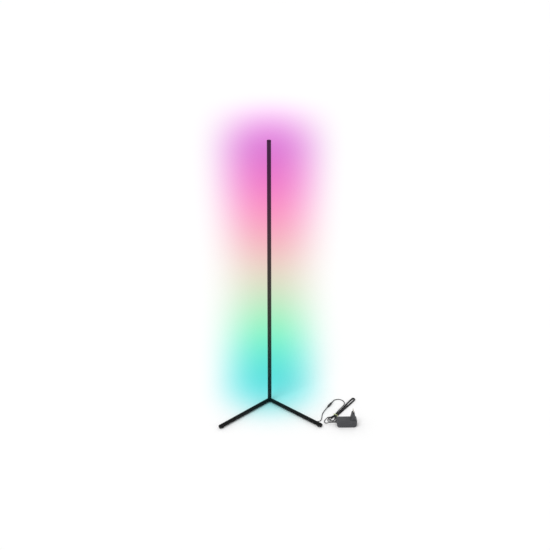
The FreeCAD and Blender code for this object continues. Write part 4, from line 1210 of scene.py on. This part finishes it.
@dataclass(frozen=True)
class Halo:
    """The coloured light round the pole, painted as a thin haze that only the camera sees."""

    radius: float = 0.42  # how far the light reaches, in metres
    top: float = 1.62
    density: float = 5.2  # how strongly it tints at the pole
    falloff: float = 3.3  # how quickly it thins out
    shine: float = 0.01  # the haze's own brightness at the floor
    lift: float = 0.19  # how much brighter it gets with each metre of height
    foot_fade: tuple[float, float] = (-0.22, 0.02)  # heights between which it thickens over the floor
    top_fade: tuple[float, float] = (1.33, 1.62)  # heights between which it thins out over the lamp

    def build(self) -> None:
        """Makes the haze, just clear of the floor."""
        shape = bmesh.new()
        bmesh.ops.create_cone(
            shape, cap_ends=True, segments=64, radius1=self.radius, radius2=self.radius, depth=self.top)
        bmesh.ops.translate(shape, vec=(0, 0, self.top / 2 + 0.0005), verts=shape.verts)
        show_mesh("halo", shape, self._haze())

    def _haze(self) -> Material:
        """A haze whose tint runs with height and thins out with distance from the pole.

        Returns:
            The material.
        """
        material, tree, output = new_material("coloured_light_haze")
        place = add_node(tree, "TexCoord").outputs["Object"]
        apart = add_node(tree, "SeparateXYZ", inputs={"Vector": place}).outputs
        flat = add_node(tree, "CombineXYZ", inputs={"X": apart["X"], "Y": apart["Y"]}).outputs[0]
        squared = add_node(tree, "VectorMath", {"operation": "DOT_PRODUCT"}, {0: flat, 1: flat})
        share = {0: squared.outputs["Value"], 1: self.radius ** 2}
        share = add_node(tree, "Math", {"operation": "DIVIDE"}, share)
        clamped = {"operation": "SUBTRACT", "use_clamp": True}
        inner = add_node(tree, "Math", clamped, {0: 1.0, 1: share.outputs[0]})
        thin = add_node(tree, "Math", {"operation": "POWER"}, {0: inner.outputs[0], 1: self.falloff})
        seen = {0: thin.outputs[0], 1: add_node(tree, "LightPath").outputs["Is Camera Ray"]}
        once = add_node(tree, "Math", {"operation": "MULTIPLY"}, seen).outputs[0]
        dense = add_node(tree, "Math", {"operation": "MULTIPLY"}, {0: once, 1: self.density}).outputs[0]
        for (low, high), start, end in ((self.foot_fade, 0.0, 1.0), (self.top_fade, 1.0, 0.0)):
            span = {"Value": apart["Z"], "From Min": low, "From Max": high, "To Min": start, "To Max": end}
            fade = add_node(tree, "MapRange", {"interpolation_type": "SMOOTHSTEP"}, span).outputs["Result"]
            dense = add_node(tree, "Math", {"operation": "MULTIPLY"}, {0: dense, 1: fade}).outputs[0]
        tint = Glow().ramp(tree, apart["Z"])
        soak = add_node(tree, "VolumeAbsorption", inputs={"Color": tint, "Density": dense})
        # The haze's own glow is painted light: it gets brighter with height and lightens the pole seen
        # through it.
        line = {0: apart["Z"], 1: self.lift, 2: self.shine}
        rising = add_node(tree, "Math", {"operation": "MULTIPLY_ADD"}, line)
        shine = add_node(tree, "Math", {"operation": "MULTIPLY"}, {0: once, 1: rising.outputs[0]})
        glow = add_node(tree, "Emission", inputs={"Color": tint, "Strength": shine.outputs[0]})
        both = add_node(tree, "AddShader", inputs={0: soak.outputs[0], 1: glow.outputs[0]})
        tree.links.new(both.outputs[0], output.inputs["Volume"])
        # Short steps, because the haze is thin and its colour changes with height.
        material.cycles.volume_step_rate = 0.3
        return material


@dataclass(frozen=True)
class Studio:
    """A white floor, even light with one soft key lamp, and the camera of the photograph."""

    camera_at: tuple[float, float, float] = (-0.0722, -3.9874, 2.464)  # the camera's place in metres
    pitch: float = 66.4
    yaw: float = -1.44
    lens: float = 58.0  # its focal length on a 36 mm wide sensor
    sky: float = 0.765
    key: float = 1.03
    key_angle: float = 28.0
    key_turn: tuple[float, float] = (32.0, -24.0)  # its turns about X and Y from straight down, in degrees

    def build(self) -> None:
        """Makes the floor, the light, the haze and the camera."""
        self._floor()
        self._world()
        self._key_light()
        Halo().build()
        self._camera()
        bpy.context.scene.view_settings.view_transform = "Standard"

    def _floor(self) -> None:
        """A wide white floor that keeps the lamp's shadow."""
        shape = bmesh.new()
        bmesh.ops.create_grid(shape, x_segments=1, y_segments=1, size=60)
        show_mesh("floor", shape, FLOOR.make())

    def _world(self) -> None:
        """Even light all round, which the camera sees as plain white."""
        world = bpy.data.worlds.new("studio")
        world.use_nodes = True
        tree = world.node_tree
        tree.nodes.clear()
        light = add_node(tree, "Background", inputs={"Color": linear("FFFFFF"), "Strength": self.sky})
        white = add_node(tree, "Background", inputs={"Color": linear("FFFFFF"), "Strength": 1.0})
        seen = add_node(tree, "LightPath").outputs["Is Camera Ray"]
        mix = add_node(tree, "MixShader", inputs={0: seen, 1: light.outputs[0], 2: white.outputs[0]})
        output = add_node(tree, "OutputWorld")
        tree.links.new(mix.outputs[0], output.inputs["Surface"])
        bpy.context.scene.world = world

    def _key_light(self) -> None:
        """One broad lamp, high on the left, for a soft stripe along the tubes and a soft shadow."""
        data = bpy.data.lights.new("key", "SUN")
        data.energy = self.key
        data.angle = math.radians(self.key_angle)
        show("key", data).rotation_euler = (*map(math.radians, self.key_turn), 0)

    def _camera(self) -> None:
        """The photograph's camera."""
        data = bpy.data.cameras.new("camera")
        data.lens = self.lens
        data.sensor_width = 36.0
        camera = show("camera", data)
        camera.location = self.camera_at
        camera.rotation_euler = (math.radians(self.pitch), 0, math.radians(self.yaw))
        bpy.context.scene.camera = camera


def main() -> None:
    """Builds the stage, the finishes and the pieces in order."""
    logging.basicConfig(level=logging.INFO, format="%(name)s: %(message)s")
    Studio().build()
    dress_nodes()
    Cords().build()
    SupplyCase().build()
    TubeEnds().build()
    LeadElbow().build()
    GrubScrews().build()


if __name__ == "__main__":
    main()
